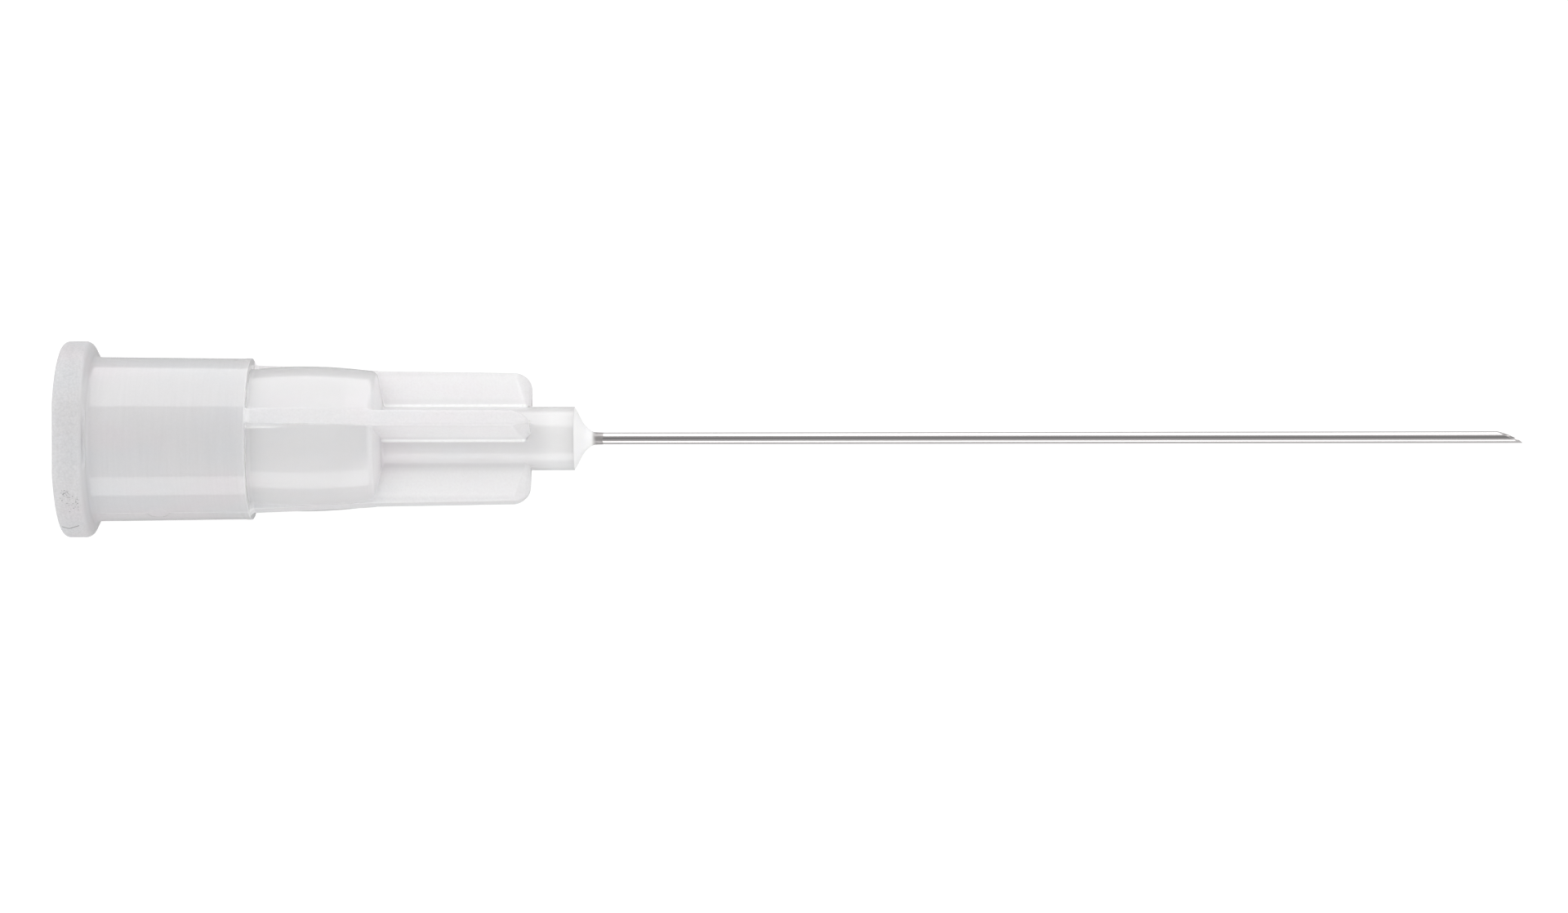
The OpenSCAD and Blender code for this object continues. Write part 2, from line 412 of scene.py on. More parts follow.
@dataclass(frozen=True)
class NaturalPlastic:
    """Natural translucent polypropylene, matt on the rim and clearer past the barrel.

    The zones from rim to fins differ in finish. Lengths are in millimetres.
    """

    base: tuple = (0.962, 0.952, 0.962, 1.0)
    warm: tuple = (0.97, 0.93, 0.955, 1.0)
    cool: tuple = (0.94, 0.948, 0.968, 1.0)
    cloud_scale: float = 260.0
    cloud_squeeze: tuple = (1.0, 1.6, 1.6)
    cloud_amount: float = 0.8
    rim: MouldFinish = MouldFinish(0.70, 0.1, 0.55, 0.2, 0.2, 2.5)
    barrel: MouldFinish = MouldFinish(0.79, 0.2, 0.42, 1.0, 0.55, 0.9)
    body: MouldFinish = MouldFinish(1.0, 0.38, 0.35, 1.0, 0.4, 0.3)
    nose: MouldFinish = MouldFinish(0.95, 0.26, 0.35, 1.0, 0.4, 0.3)
    nose_end: MouldFinish = MouldFinish(0.98, 0.14, 0.35, 1.0, 0.4, 0.3)
    fins: MouldFinish = MouldFinish(1.035, 0.2, 0.38, 0.7, 0.2, 1.3)
    grain_scale: float = 11000.0
    streak_scale: float = 9000.0
    streak_squeeze: tuple = (1.0, 0.05, 0.05)
    grain_shade: float = 0.12
    grain_roughness: float = 0.08
    bump_depth: float = 0.012
    # painted shade on the fins' crests and bevels: its factor, and how far in from the crest it reaches
    edge_painted_shade: float = 0.9
    crest_painted_shade_reach: tuple = (0.25, 0.05)
    # painted light round the step's corner: its strength, and its shift, full reach and fade
    step_painted_light: float = 0.2
    step_painted_light_reach: tuple = (0.07, 0.07, 0.14)
    coat_roughness: float = 0.07
    coat_ior: float = 1.6
    ior: float = 1.49
    specular_level: float = 0.3
    subsurface: float = 0.45
    scatter_mm: tuple = (1.3, 1.3, 1.4)
    # white of the flash, also used for the painted highlight on the ribs, and where along the ribs that
    # highlight fades
    flash_and_highlight_white: tuple = (0.985, 0.985, 0.985, 1.0)
    rib_highlight_fades: tuple = (0.5, 1.9)
    dirt: tuple = (0.10, 0.10, 0.11, 1.0)
    speckle_scale: float = 17000.0
    speckle_centres: tuple = ((0.49, -2.18, 0.27, 0.85), (0.78, -2.62, 0.33, 0.3), (0.62, -2.42, 0.52, 0.4))
    hair: tuple = ((0.155, -3.45), (0.43, -3.53), (0.85, -3.41))
    hair_width: float = 0.011
    hair_strength: float = 0.85

    def _skin_point(self, build: TreeBuilder, sizes: "HubSizes", place: Socket) -> SkinPoint:
        """Finds where a point lies round the axis and on the nearest fin."""
        along, across, up = build.xyz(place)
        radius = build.length(across, up)
        quarter = 2 * math.pi / sizes.fin_count
        angle = build.minus(build.math("ARCTAN2", up, across), math.radians(sizes.fin_turn))
        angle = build.math("WRAP", angle, quarter / 2, -quarter / 2)
        out, side = (build.times(radius, build.math(part, angle)) for part in ("COSINE", "SINE"))
        return SkinPoint(place, along, across, up, radius, out, side)

    def _masks(self, build: TreeBuilder, sizes: "HubSizes", at: SkinPoint) -> tuple[Socket, ...]:
        """How much each zone after the rim takes over, from 0 to 1.

        Args:
            build: The material's builder.
            sizes: The hub's sizes, which say where each zone begins.
            at: The point.

        Returns:
            The masks of the barrel, the body, the nose, its end, and the fins with their ribs.
        """
        starts = ((sizes.flange_t, -0.35, -0.1), (sizes.step_x, -0.05, -0.01),
                  (sizes.shoulder_x, -0.25, 0.1), (sizes.well_x, 0.3, 1.2))
        masks = [build.ramp(at.along, (x + low) * MM, (x + high) * MM) for x, low, high in starts]
        high = self._off_nose(build, sizes, at)
        rib_half = sizes.fin_tip_w / 2
        beside = build.math("ABSOLUTE", at.side)
        on_rib = build.ramp(beside, (rib_half - 0.02) * MM, (rib_half + 0.05) * MM, 1.0, 0.0)
        raised = build.math("MAXIMUM", masks[2], build.times(masks[1], on_rib))
        return (*masks, build.times(high, raised))

    @staticmethod
    def _off_nose(build: TreeBuilder, sizes: "HubSizes", at: SkinPoint) -> Socket:
        """A mask of what stands off the nose."""
        return build.ramp(at.radius, (sizes.nose_r + 0.05) * MM, (sizes.nose_r + 0.45) * MM)

    def _by_zone(self, build: TreeBuilder, masks: Sequence[Socket], name: str) -> Socket:
        """One property of the finish, changed from zone to zone.

        Args:
            build: The material's builder.
            masks: How much each later zone takes over, from 0 to 1.
            name: The property's name.

        Returns:
            The property's value.
        """
        value = getattr(self.rim, name)
        for mask, finish in zip(masks, (self.barrel, self.body, self.nose, self.nose_end, self.fins)):
            value = build.mix_value(mask, value, getattr(finish, name))
        return value

    def _flash_and_rib_highlight(self, build: TreeBuilder, sizes: "HubSizes", at: SkinPoint) -> Socket:
        """A mask of the whitish flash along one root of each fin, and of a painted highlight along one side
        of the ribs just past the step.
        """
        flash_out, flash_side = sizes.flash_spot()
        gap = build.length(build.minus(at.out, flash_out * MM), build.minus(at.side, flash_side * MM))
        near = build.ramp(gap, sizes.flash_reach * 0.55 * MM, sizes.flash_reach * MM, 1.0, 0.0)
        start = build.ramp(at.along, (sizes.shoulder_x + 0.1) * MM, (sizes.shoulder_x + 0.5) * MM)
        end = build.math("LESS_THAN", at.along, (sizes.fin_end_x - 0.03) * MM)
        on_fin = build.times(near, build.times(start, end))
        # painted highlight along one side of each rib, fading out past the step
        beside = build.math("ABSOLUTE", build.minus(at.side, sizes.rib_highlight_side * MM))
        streak = build.ramp(beside, 0.02 * MM, sizes.flash_reach * MM, 0.9, 0.0)
        first, last = ((sizes.step_x + reach) * MM for reach in self.rib_highlight_fades)
        past_step = build.math("GREATER_THAN", at.along, sizes.step_x * MM)
        streak = build.times(streak, build.times(build.ramp(at.along, first, last, 1.0, 0.0), past_step))
        high = build.math("GREATER_THAN", at.out, sizes.body_r * 0.97 * MM)
        return build.math("MAXIMUM", on_fin, build.times(streak, high))

    def _shade(
        self, build: TreeBuilder, sizes: "HubSizes", at: SkinPoint, masks: Sequence[Socket], grain: Socket
    ) -> Socket:
        """Brightness of the plastic at a point, with painted light round the step and painted shade on the
        fins' crests and bevels.

        Args:
            build: The material's builder.
            sizes: The hub's sizes.
            at: The point.
            masks: How much each zone takes over.
            grain: The relief, around 0.

        Returns:
            The factor on the colour.
        """
        uneven = build.times(build.times(grain, self._by_zone(build, masks, "relief")), self.grain_shade)
        # painted light: the step's corner is lightened to make up for the shade that falls in the corner
        shift, near, far = (reach * MM for reach in self.step_painted_light_reach)
        off_step = build.math("ABSOLUTE", build.minus(at.along, sizes.step_x * MM + shift))
        uneven = build.times_plus(build.ramp(off_step, near, far, 1.0, 0.0), self.step_painted_light, uneven)
        # painted shade: the fins' crests, which face the light from above, and the bevels at their free ends
        # are darkened
        lean = sizes.bevel_line_lean()
        past_bevel = build.times_plus(at.out, lean, at.along)
        line = (sizes.fin_end_x - sizes.fin_bevel_l + sizes.nose_r * lean) * MM
        in_bevel = build.ramp(past_bevel, line - 0.05 * MM, line + 0.05 * MM)
        in_bevel = build.times(self._off_nose(build, sizes, at), in_bevel)
        first, last = ((sizes.fin_end_r - reach) * MM for reach in self.crest_painted_shade_reach)
        on_crest = build.times(build.ramp(at.out, first, last), masks[-1])
        thin_film_and_painted_edge_shade = build.math("MAXIMUM", in_bevel, on_crest)
        uneven = build.times_plus(thin_film_and_painted_edge_shade, self.edge_painted_shade - 1.0, uneven)
        return build.plus(self._by_zone(build, masks, "shade"), uneven)

    def _speckles(self, build: TreeBuilder, at: SkinPoint) -> Socket:
        """A mask of dark specks, close together round a few centres on the rim."""
        cells = build.add("ShaderNodeTexVoronoi")
        build.fill(cells, {"Vector": at.place, "Scale": self.speckle_scale})
        red, green, _ = build.xyz(cells.outputs["Color"])
        near = 0.0
        for centre_x, centre_y, reach, density in self.speckle_centres:
            dx = build.math("DIVIDE", build.minus(at.along, centre_x * MM), reach * MM)
            dy = build.math("DIVIDE", build.minus(at.across, centre_y * MM), reach * MM)
            gap = build.times_plus(dx, dx, build.times(dy, dy))
            near = build.math("MAXIMUM", near, build.ramp(gap, 0.0, 1.0, density, 0.0))
        chosen = build.math("LESS_THAN", red, near)
        dot = build.ramp(cells.outputs["Distance"], 0.2, 0.55, 1.0, 0.0)
        return build.times(build.times(chosen, dot), build.times_plus(green, 0.75, 0.15))

    def _hair(self, build: TreeBuilder, at: SkinPoint) -> Socket:
        """A mask of the fine dark line on the rim, along two straight parts."""
        found = 0.0
        for start, end in zip(self.hair, self.hair[1:]):
            length = math.dist(start, end) * MM
            ux, uy = ((end[0] - start[0]) * MM / length, (end[1] - start[1]) * MM / length)
            px, py = build.minus(at.along, start[0] * MM), build.minus(at.across, start[1] * MM)
            run = build.times_plus(px, ux, build.times(py, uy))
            off = build.math("ABSOLUTE", build.minus(build.times(px, -uy), build.times(py, -ux)))
            inside = build.times(build.math("GREATER_THAN", run, 0.0), build.math("LESS_THAN", run, length))
            near, far = self.hair_width * MM * 0.6, self.hair_width * MM * 1.3
            line = build.times(inside, build.ramp(off, near, far, self.hair_strength, 0.0))
            found = build.math("MAXIMUM", found, line)
        return found

    def material(
        self, mottle: bpy.types.NodeTree, grain: bpy.types.NodeTree, sizes: "HubSizes"
    ) -> bpy.types.Material:
        """Builds the material.

        Args:
            mottle: The group that clouds the colour.
            grain: The group with the fine relief.
            sizes: The hub's sizes, which say where each finish begins.

        Returns:
            The material.
        """
        made, build, place = new_material("hub_translucent_plastic")
        at = self._skin_point(build, sizes, place)
        masks = self._masks(build, sizes, at)
        cloud = build.group(mottle, {
            "Vector": build.scaled(place, self.cloud_squeeze), "Scale": self.cloud_scale,
            "Base": self.base, "Warm": self.warm, "Cool": self.cool, "Amount": self.cloud_amount,
        })
        relief = build.group(grain, {
            "Vector": place, "Grain Scale": self.grain_scale,
            "Streak Vector": build.scaled(place, self.streak_squeeze), "Streak Scale": self.streak_scale,
            "Streak Share": self._by_zone(build, masks, "streaks"),
        })
        shift = relief.outputs["Roughness Shift"]
        shaded = build.add("ShaderNodeVectorMath", operation="SCALE")
        build.feed(shaded.inputs[0], cloud.outputs["Colour"])
        build.feed(shaded.inputs["Scale"], self._shade(build, sizes, at, masks, shift))
        flash_and_highlight = self._flash_and_rib_highlight(build, sizes, at)
        colour = build.mix_colour(flash_and_highlight, shaded.outputs[0], self.flash_and_highlight_white)
        marks = build.math("MAXIMUM", self._speckles(build, at), self._hair(build, at))
        on_top = build.times(build.math("GREATER_THAN", at.up, 0.0), build.minus(1.0, masks[0]))
        height, strength = relief.outputs["Height"], self._by_zone(build, masks, "relief")
        rough = self._by_zone(build, masks, "roughness")
        shader = build.fill(build.add("ShaderNodeBsdfPrincipled"), {
            "Base Color": build.mix_colour(build.times(marks, on_top), colour, self.dirt),
            "Roughness": build.math("MULTIPLY_ADD", shift, self.grain_roughness, rough, clamp=True),
            "Normal": build.bump(height, strength, self.bump_depth * MM),
            "Coat Weight": self._by_zone(build, masks, "coat"),
            "Transmission Weight": build.mix_value(flash_and_highlight, self._by_zone(build, masks, "clear"), 0.0),
            "Coat Roughness": self.coat_roughness,
            "Coat IOR": self.coat_ior,
            "Specular IOR Level": self.specular_level,
            "IOR": self.ior,
            "Subsurface Weight": self.subsurface,
            "Subsurface Radius": self.scatter_mm,
            "Subsurface Scale": MM,
        })
        build.surface(shader)
        return made


@dataclass(frozen=True)
class DrawnSteel:
    """Polished stainless tube with the fine streaks of drawing along it."""

    base: tuple = (0.71, 0.685, 0.685, 1.0)
    roughness: float = 0.18
    grain_roughness: float = 0.15
    grain_scale: float = 26000.0
    streak_scale: float = 16000.0
    streak_squeeze: tuple = (0.03, 1.0, 1.0)
    streak_share: float = 0.7
    relief: float = 0.5
    bump_depth: float = 0.001

    def material(self, grain: bpy.types.NodeTree) -> bpy.types.Material:
        """Builds the material from the group with the fine relief."""
        made, build, place = new_material("cannula_drawn_steel")
        relief = build.group(grain, {
            "Vector": place, "Grain Scale": self.grain_scale,
            "Streak Vector": build.scaled(place, self.streak_squeeze), "Streak Scale": self.streak_scale,
            "Streak Share": self.streak_share,
        })
        shift = build.times(relief.outputs["Roughness Shift"], self.grain_roughness)
        shader = build.fill(build.add("ShaderNodeBsdfPrincipled"), {
            "Base Color": self.base,
            "Metallic": 1.0,
            "Roughness": build.math("ADD", self.roughness, shift, clamp=True),
            "Normal": build.bump(relief.outputs["Height"], self.relief, self.bump_depth * MM),
        })
        build.surface(shader)
        return made


@dataclass(frozen=True)
class CuredAdhesive:
    """White, slightly glassy adhesive that thins out to a clear film on the steel."""

    base: tuple = (0.98, 0.98, 0.985, 1.0)
    warm: tuple = (0.985, 0.975, 0.98, 1.0)
    cool: tuple = (0.96, 0.97, 0.99, 1.0)
    cloud_scale: float = 900.0
    grain_scale: float = 2500.0
    streak_share: float = 0.3
    relief: float = 0.3
    bump_depth: float = 0.01
    roughness: float = 0.3
    subsurface: float = 0.2
    scatter_mm: tuple = (0.15, 0.15, 0.18)
    film: tuple = (0.42, 0.40, 0.40, 1.0)
    film_alpha: float = 0.5
    film_reach: tuple = (-0.18, 0.06)

    def material(
        self, mottle: bpy.types.NodeTree, grain: bpy.types.NodeTree, sizes: "HubSizes"
    ) -> bpy.types.Material:
        """Builds the material.

        Args:
            mottle: The group that clouds the colour.
            grain: The group with the fine relief.
            sizes: The hub's sizes, which say where the cone ends.

        Returns:
            The material.
        """
        made, build, place = new_material("bond_cured_adhesive")
        cloud = build.group(mottle, {
            "Vector": place, "Scale": self.cloud_scale,
            "Base": self.base, "Warm": self.warm, "Cool": self.cool,
        })
        relief = build.group(grain, {
            "Vector": place, "Grain Scale": self.grain_scale, "Streak Vector": place,
            "Streak Share": self.streak_share,
        })
        first, last = ((sizes.cone_end_x + reach) * MM for reach in self.film_reach)
        thin_film_and_painted_edge_shade = build.ramp(build.xyz(place)[0], first, last)
        shader = build.fill(build.add("ShaderNodeBsdfPrincipled"), {
            "Base Color": build.mix_colour(thin_film_and_painted_edge_shade, cloud.outputs["Colour"], self.film),
            "Roughness": self.roughness,
            "Normal": build.bump(relief.outputs["Height"], self.relief, self.bump_depth * MM),
            "Alpha": build.mix_value(thin_film_and_painted_edge_shade, 1.0, self.film_alpha),
            "Subsurface Weight": self.subsurface,
            "Subsurface Radius": self.scatter_mm,
            "Subsurface Scale": MM,
        })
        build.surface(shader)
        return made


# Hub


@dataclass
class HubSizes:
    """The hub's sizes, in millimetres and degrees.

    Those of the part's source stand here too. The flange's fillet, the step with its ring and
    chamfer, and the lean of the fins' bevels are a little different, to follow the photo closely.
    """

    socket_r: float = 2.145
    socket_slope: float = 0.03
    socket_lead_in: float = 0.15
    socket_floor_round: float = 0.4
    socket_floor_x: float = 11.16
    flange_t: float = 1.3
    flange_r: float = 3.9
    flat_r: float = 3.6
    rim_round_back: float = 0.28
    rim_round_front: float = 0.33
    flange_lean: float = 0.1
    flange_fillet: float = 0.2
    barrel_r: float = 3.265
    barrel_end_r: float = 3.195
    step_x: float = 7.49
    ring_w: float = 0.26
    ring_h: float = 0.012
    step_chamfer_l: float = 0.03
    step_chamfer_r: float = 0.03
    body_r: float = 2.775
    body_end_r: float = 2.705
    body_swell: float = 0.14
    shoulder_x: float = 12.46
    shoulder_round: float = 0.3
    shoulder_slope: float = 13.0
    nose_r: float = 1.26
    nose_end_x: float = 20.30
    nose_fillet: float = 0.12
    fin_count: int = 4
    fin_turn: float = -18.0
    rib_r: float = 3.015
    rib_start_round: float = 0.15
    rib_end_r: float = 2.76
    fin_end_r: float = 2.67
    fin_tip_w: float = 0.66
    fin_draft: float = 5.0
    fin_fillet: float = 0.22
    fin_end_x: float = 18.59
    fin_corner: float = 0.66
    fin_bevel_l: float = 0.22
    fin_bevel_lean: float = 27.0
    fin_bevel_angle: float = 28.0
    fin_end_round: float = 0.12
    fin_edge_round: float = 0.11
    flash_share: float = 0.38
    flash_reach: float = 0.085
    flash_h: float = 0.045
    # where across a fin the painted highlight on its rib lies
    rib_highlight_side: float = 0.42
    funnel_r: float = 0.9
    throat_x: float = 12.66
    throat_r: float = 0.15
    seat_x: float = 12.96
    seat_r: float = 0.335
    well_x: float = 18.45
    well_r: float = 0.82
    cone_end_x: float = 21.13
    film_end_x: float = 21.45

    def sector_half(self) -> float:
        """The angle from a fin to midway to the next one, in degrees."""
        return 180 / self.fin_count

    def fin_half(self, u: float) -> float:
        """Half the thickness of a fin at a distance from the axis, without its bevels."""
        return self.fin_tip_w / 2 + (self.fin_end_r - u) * math.tan(math.radians(self.fin_draft))

    def bevel_line_lean(self) -> float:
        """How far back the line where a bevel meets a fin's side moves for each unit outwards."""
        lean = math.radians(self.fin_bevel_lean)
        steep = math.tan(math.radians(self.fin_bevel_angle)) * math.cos(lean)
        return math.tan(lean) - math.tan(math.radians(self.fin_draft)) / steep

    def root_fillet(self, base_r: float, foot_half: float, fillet: float) -> tuple:
        """The fillet between a fin's side and the body, tangent to both.

        Args:
            base_r: Radius of the body or nose.
            foot_half: Half the fin's thickness at that radius.
            fillet: The fillet's radius.

        Returns:
            Its centre, its end on the side and its end on the body, as (out, across) pairs.
        """
        draft = math.radians(self.fin_draft)
        side = foot_half * math.cos(draft) + base_r * math.sin(draft)
        reach, off = base_r + fillet, side + fillet
        run = math.sqrt(max(reach * reach - off * off, 0.0))
        sine, cosine = math.sin(draft), math.cos(draft)
        centre = (off * sine + run * cosine, off * cosine - run * sine)
        on_side = (centre[0] - fillet * sine, centre[1] - fillet * cosine)
        return centre, on_side, (centre[0] * base_r / reach, centre[1] * base_r / reach)

    def fillet_point(self, ends: tuple, fillet: float, share: float) -> tuple[float, float]:
        """The (out, across) point at a share of the way along a root fillet."""
        centre, on_side, on_body = ends
        first = math.atan2(on_side[1] - centre[1], on_side[0] - centre[0])
        last = math.atan2(on_body[1] - centre[1], on_body[0] - centre[0])
        turn = first + ((last - first + math.pi) % (2 * math.pi) - math.pi) * share
        return centre[0] + fillet * math.cos(turn), centre[1] + fillet * math.sin(turn)

    def flash_spot(self) -> tuple[float, float]:
        """Where the flash sits on a fin's root along the nose, as (out, across)."""
        ends = self.root_fillet(self.nose_r, self.fin_half(self.nose_r), self.fin_fillet)
        return self.fillet_point(ends, self.fin_fillet - self.flash_h / 2, self.flash_share)


@dataclass
class Hub:
    """The moulded hub: socket, lock flange, barrel, body, fins and nose."""

    sizes: HubSizes = field(default_factory=HubSizes)
    column_step: float = 1.25
    parting_angle: float = 154.5
    parting_height: float = 0.018
    parting_shift: float = 0.8
    gate_x: float = 3.90
    gate_r: float = 0.43
    gate_height: float = 0.036
    gate_edge: float = 0.06
    edge_round: float = 0.012
    rim_soft: float = 0.09
    step_root: float = 0.06
    bevel_soft: float = 0.03
    thinnest_half: float = 0.075
    free_end_foot: float = 0.05
    free_end_reach: float = 0.25
    nose_gaps: tuple = (
        (0.16, 0.9), (0.24, 0.75), (0.34, 0.5), (0.46, 0.25), (0.6, 0.1), (0.8, 0.0), (1.1, 0.0), (1.4, 0.0),
    )
    flash_profile: tuple = (0.1, 0.75, 1.0, 0.6, 0.05)
    sharp_angle: float = 32.0

    def build(self, material: bpy.types.Material) -> bpy.types.Object:
        """Builds the hub as one closed mesh.

        Args:
            material: The hub's material.

        Returns:
            The hub's object.
        """
        core = new_object("hub_moulding", mesh_from_rings("hub_core", self._core_rings(), closed=True))
        sector = new_object("fin_sector", mesh_from_rings("fin_sector", self._sector_rings(), closed=False))
        hub = FinRepeat(self.sizes.fin_count, self.sizes.fin_turn).apply(core, sector, material)
        tidy_mesh(hub.data, self.sharp_angle)
        return hub

    def _columns(self) -> np.ndarray:
        """Angles of the columns from +Y towards +Z, in radians, starting midway between two fins."""
        count = round(360 / self.column_step)
        start = self.sizes.fin_turn - self.sizes.sector_half()
        return np.radians(start + self.column_step * np.arange(count))

    def _rim(self, angles: np.ndarray) -> np.ndarray:
        """Radius of the flange's rim at each angle: a circle with two flats and softened corners."""
        s = self.sizes
        flat = s.flat_r / np.maximum(np.abs(np.sin(angles)), 1e-6)
        blend = np.clip(0.5 + 0.5 * (flat - s.flange_r) / self.rim_soft, 0, 1)
        return flat + (s.flange_r - flat) * blend - self.rim_soft * blend * (1 - blend) * 0.5

    def _flange_rings(self, angles: np.ndarray) -> list[Ring]:
        """Rings from the socket's mouth over the rim to the barrel's start."""
        s = self.sizes
        rim = self._rim(angles)
        mouth_r = s.socket_r + s.socket_lead_in
        rings = []
        for part in np.linspace(0, 1, 9):
            rings.append(ring_at(0.0, mouth_r + (rim - s.rim_round_back - mouth_r) * part, angles))
        for t in np.radians(np.linspace(0, 90, 8))[1:]:
            out = s.rim_round_back * (1 - math.sin(t))
            rings.append(ring_at(s.rim_round_back * (1 - math.cos(t)), rim - out, angles))
        front = s.flange_t - s.flange_lean
        for x in np.linspace(s.rim_round_back, front - s.rim_round_front, 5)[1:]:
            rings.append(ring_at(x, rim, angles))
        lean = math.degrees(math.atan2(s.flange_lean, s.flange_r - s.rim_round_front - s.barrel_r))
        for t in np.radians(np.linspace(0, 90 - lean, 8))[1:]:
            place = front - s.rim_round_front * (1 - math.sin(t))
            rings.append(ring_at(place, rim - s.rim_round_front * (1 - math.cos(t)), angles))
        inner = s.barrel_r + s.flange_fillet
        last_x, last_r = rings[-1][0, 0], rim - s.rim_round_front * (1 - math.sin(math.radians(lean)))
        foot_x = s.flange_t - 0.01
        for part in (0.5, 1.0):
            place = last_x + (foot_x - last_x) * part
            rings.append(ring_at(place, last_r + (inner - last_r) * part, angles))
        for r, x in arc((inner, foot_x + s.flange_fillet), s.flange_fillet, 270, 180, 5)[1:]:
            rings.append(ring_at(x, r, angles))
        return rings

    def _barrel_radius(self, x: float) -> float:
        """Radius of the barrel at a place along the axis."""
        s = self.sizes
        share = (x - s.flange_t) / (s.step_x - s.ring_w - s.flange_t)
        return s.barrel_r + (s.barrel_end_r - s.barrel_r) * share

    def _barrel_ring(self, x: float, radius: float, angles: np.ndarray, line: float) -> Ring:
        """A ring of the barrel with the parting line and the gate mark on it.

        Args:
            x: Place along the axis.
            radius: Plain radius there.
            angles: The columns' angles.
            line: Share of the parting line's height, from 0 to 1.

        Returns:
            The ring.
        """
        angles = angles.copy()
        turn = np.degrees(angles) % 360 - self.parting_angle
        for side in (-1, 1):
            beside = np.abs(turn - side * self.column_step) < 1e-6
            angles[beside] -= math.radians(side * self.parting_shift * line)
        ridge = np.where(np.abs(turn) < 1e-6, self.parting_height * line, 0.0)
        reach = np.hypot(x - self.gate_x, radius * np.radians(turn))
        gate = self.gate_height * (1 - smoothstep(reach, self.gate_r - self.gate_edge, self.gate_r))
        return ring_at(x, radius + np.maximum(ridge * (gate < 1e-9), gate), angles)

    def _barrel_rings(self, angles: np.ndarray) -> list[Ring]:
        """Rings from the flange to the step, with the raised ring and its chamfer."""
        s = self.sizes
        start = s.flange_t + s.flange_fillet
        places = np.concatenate([
            np.linspace(start, self.gate_x - self.gate_r, 14)[1:],
            np.linspace(self.gate_x - self.gate_r, self.gate_x + self.gate_r, 20)[1:],
            np.linspace(self.gate_x + self.gate_r, s.step_x - s.ring_w - 0.08, 16)[1:],
        ])
        rings = []
        for place in places:
            line = float(smoothstep(np.array(place), start + 0.05, start + 0.25))
            rings.append(self._barrel_ring(place, self._barrel_radius(place), angles, line))
        top = s.barrel_end_r + s.ring_h
        start = s.step_x - s.ring_w
        for part in (0.0, 0.2, 0.4, 0.6, 0.8, 1.0):
            rise = float(smoothstep(np.array(part), 0.0, 1.0))
            radius = s.barrel_end_r + s.ring_h * rise
            rings.append(self._barrel_ring(start - 0.07 + 0.15 * part, radius, angles, 1.0))
        for x in (start + 0.1, s.step_x - s.step_chamfer_l - 0.06, s.step_x - s.step_chamfer_l - 0.01):
            rings.append(self._barrel_ring(x, top, angles, 1.0))
        for r, x in arc((top - s.step_chamfer_r, s.step_x - s.step_chamfer_l), s.step_chamfer_l, 0, 90, 4):
            rings.append(ring_at(x, r, angles))
        return rings

    def _inside_rings(self, angles: np.ndarray) -> list[Ring]:
        """Rings of everything hollow, from the nose's open end back to the socket's mouth."""
        s = self.sizes
        floor_r = s.socket_r - s.socket_floor_x * s.socket_slope
        centre = (floor_r - s.socket_floor_round, s.socket_floor_x - s.socket_floor_round)
        well_rim, well_foot = np.array((s.well_r, s.nose_end_x)), np.array((s.seat_r, s.well_x))
        throat, funnel = np.array((s.throat_r, s.throat_x)), np.array((s.funnel_r, s.socket_floor_x))
        path = [tuple(well_rim), (s.well_r - 0.02, s.nose_end_x - 0.05)]
        path += [tuple(well_rim + (well_foot - well_rim) * t) for t in (0.3, 0.6, 0.97, 1.0)]
        path += [(s.seat_r, x) for x in np.linspace(s.well_x, s.seat_x, 8)[1:]]
        path += [(s.throat_r + 0.01, s.seat_x), (s.throat_r, s.seat_x - 0.01), tuple(throat)]
        path += [tuple(throat + (funnel - throat) * t) for t in (0.04, 0.35, 0.7, 0.97, 1.0)]
        path += [(s.funnel_r + 0.03, s.socket_floor_x), (centre[0] - 0.02, s.socket_floor_x)]
        path += arc(centre, s.socket_floor_round, 90, 0, 8)
        wall = np.linspace(centre[1], s.socket_lead_in + 0.02, 16)[1:]
        path += [(s.socket_r - x * s.socket_slope, x) for x in wall]
        path += [(s.socket_r - s.socket_lead_in * s.socket_slope + 0.006, s.socket_lead_in)]
        mouth_r = s.socket_r + s.socket_lead_in
        path += [(mouth_r - 0.012, 0.012)]
        return [ring_at(x, r, angles) for r, x in path]

    def _core_rings(self) -> list[Ring]:
        """Rings of the flange, the barrel and the inside, from the nose's open end to the step."""
        angles = self._columns()
        return self._inside_rings(angles) + self._flange_rings(angles) + self._barrel_rings(angles)

    def _bevel_half(self, u: float, x: float) -> float:
        """Half the thickness that the bevels leave at a fin's free end."""
        s = self.sizes
        steep, lean = math.tan(math.radians(s.fin_bevel_angle)), math.radians(s.fin_bevel_lean)
        rise, run = u - s.nose_r, x - (s.fin_end_x - s.fin_bevel_l)
        late = max(0.0, min(1.0, 1 - (s.fin_end_x - x) / self.free_end_reach))
        flat = s.fin_half(s.nose_r) - steep * math.sin(lean) * rise - steep * math.cos(lean) * run
        return flat - s.fin_end_round * late * late

    def _half(self, u: float, x: float) -> float:
        """Half the thickness of a fin with its bevels, with the edge between them softened."""
        s = self.sizes
        plain, cut, soft = s.fin_half(u), self._bevel_half(u, x), self.bevel_soft
        share = max(0.0, min(1.0, 0.5 + 0.5 * (cut - plain) / soft))
        return max(cut + (plain - cut) * share - soft * share * (1 - share), self.thinnest_half)

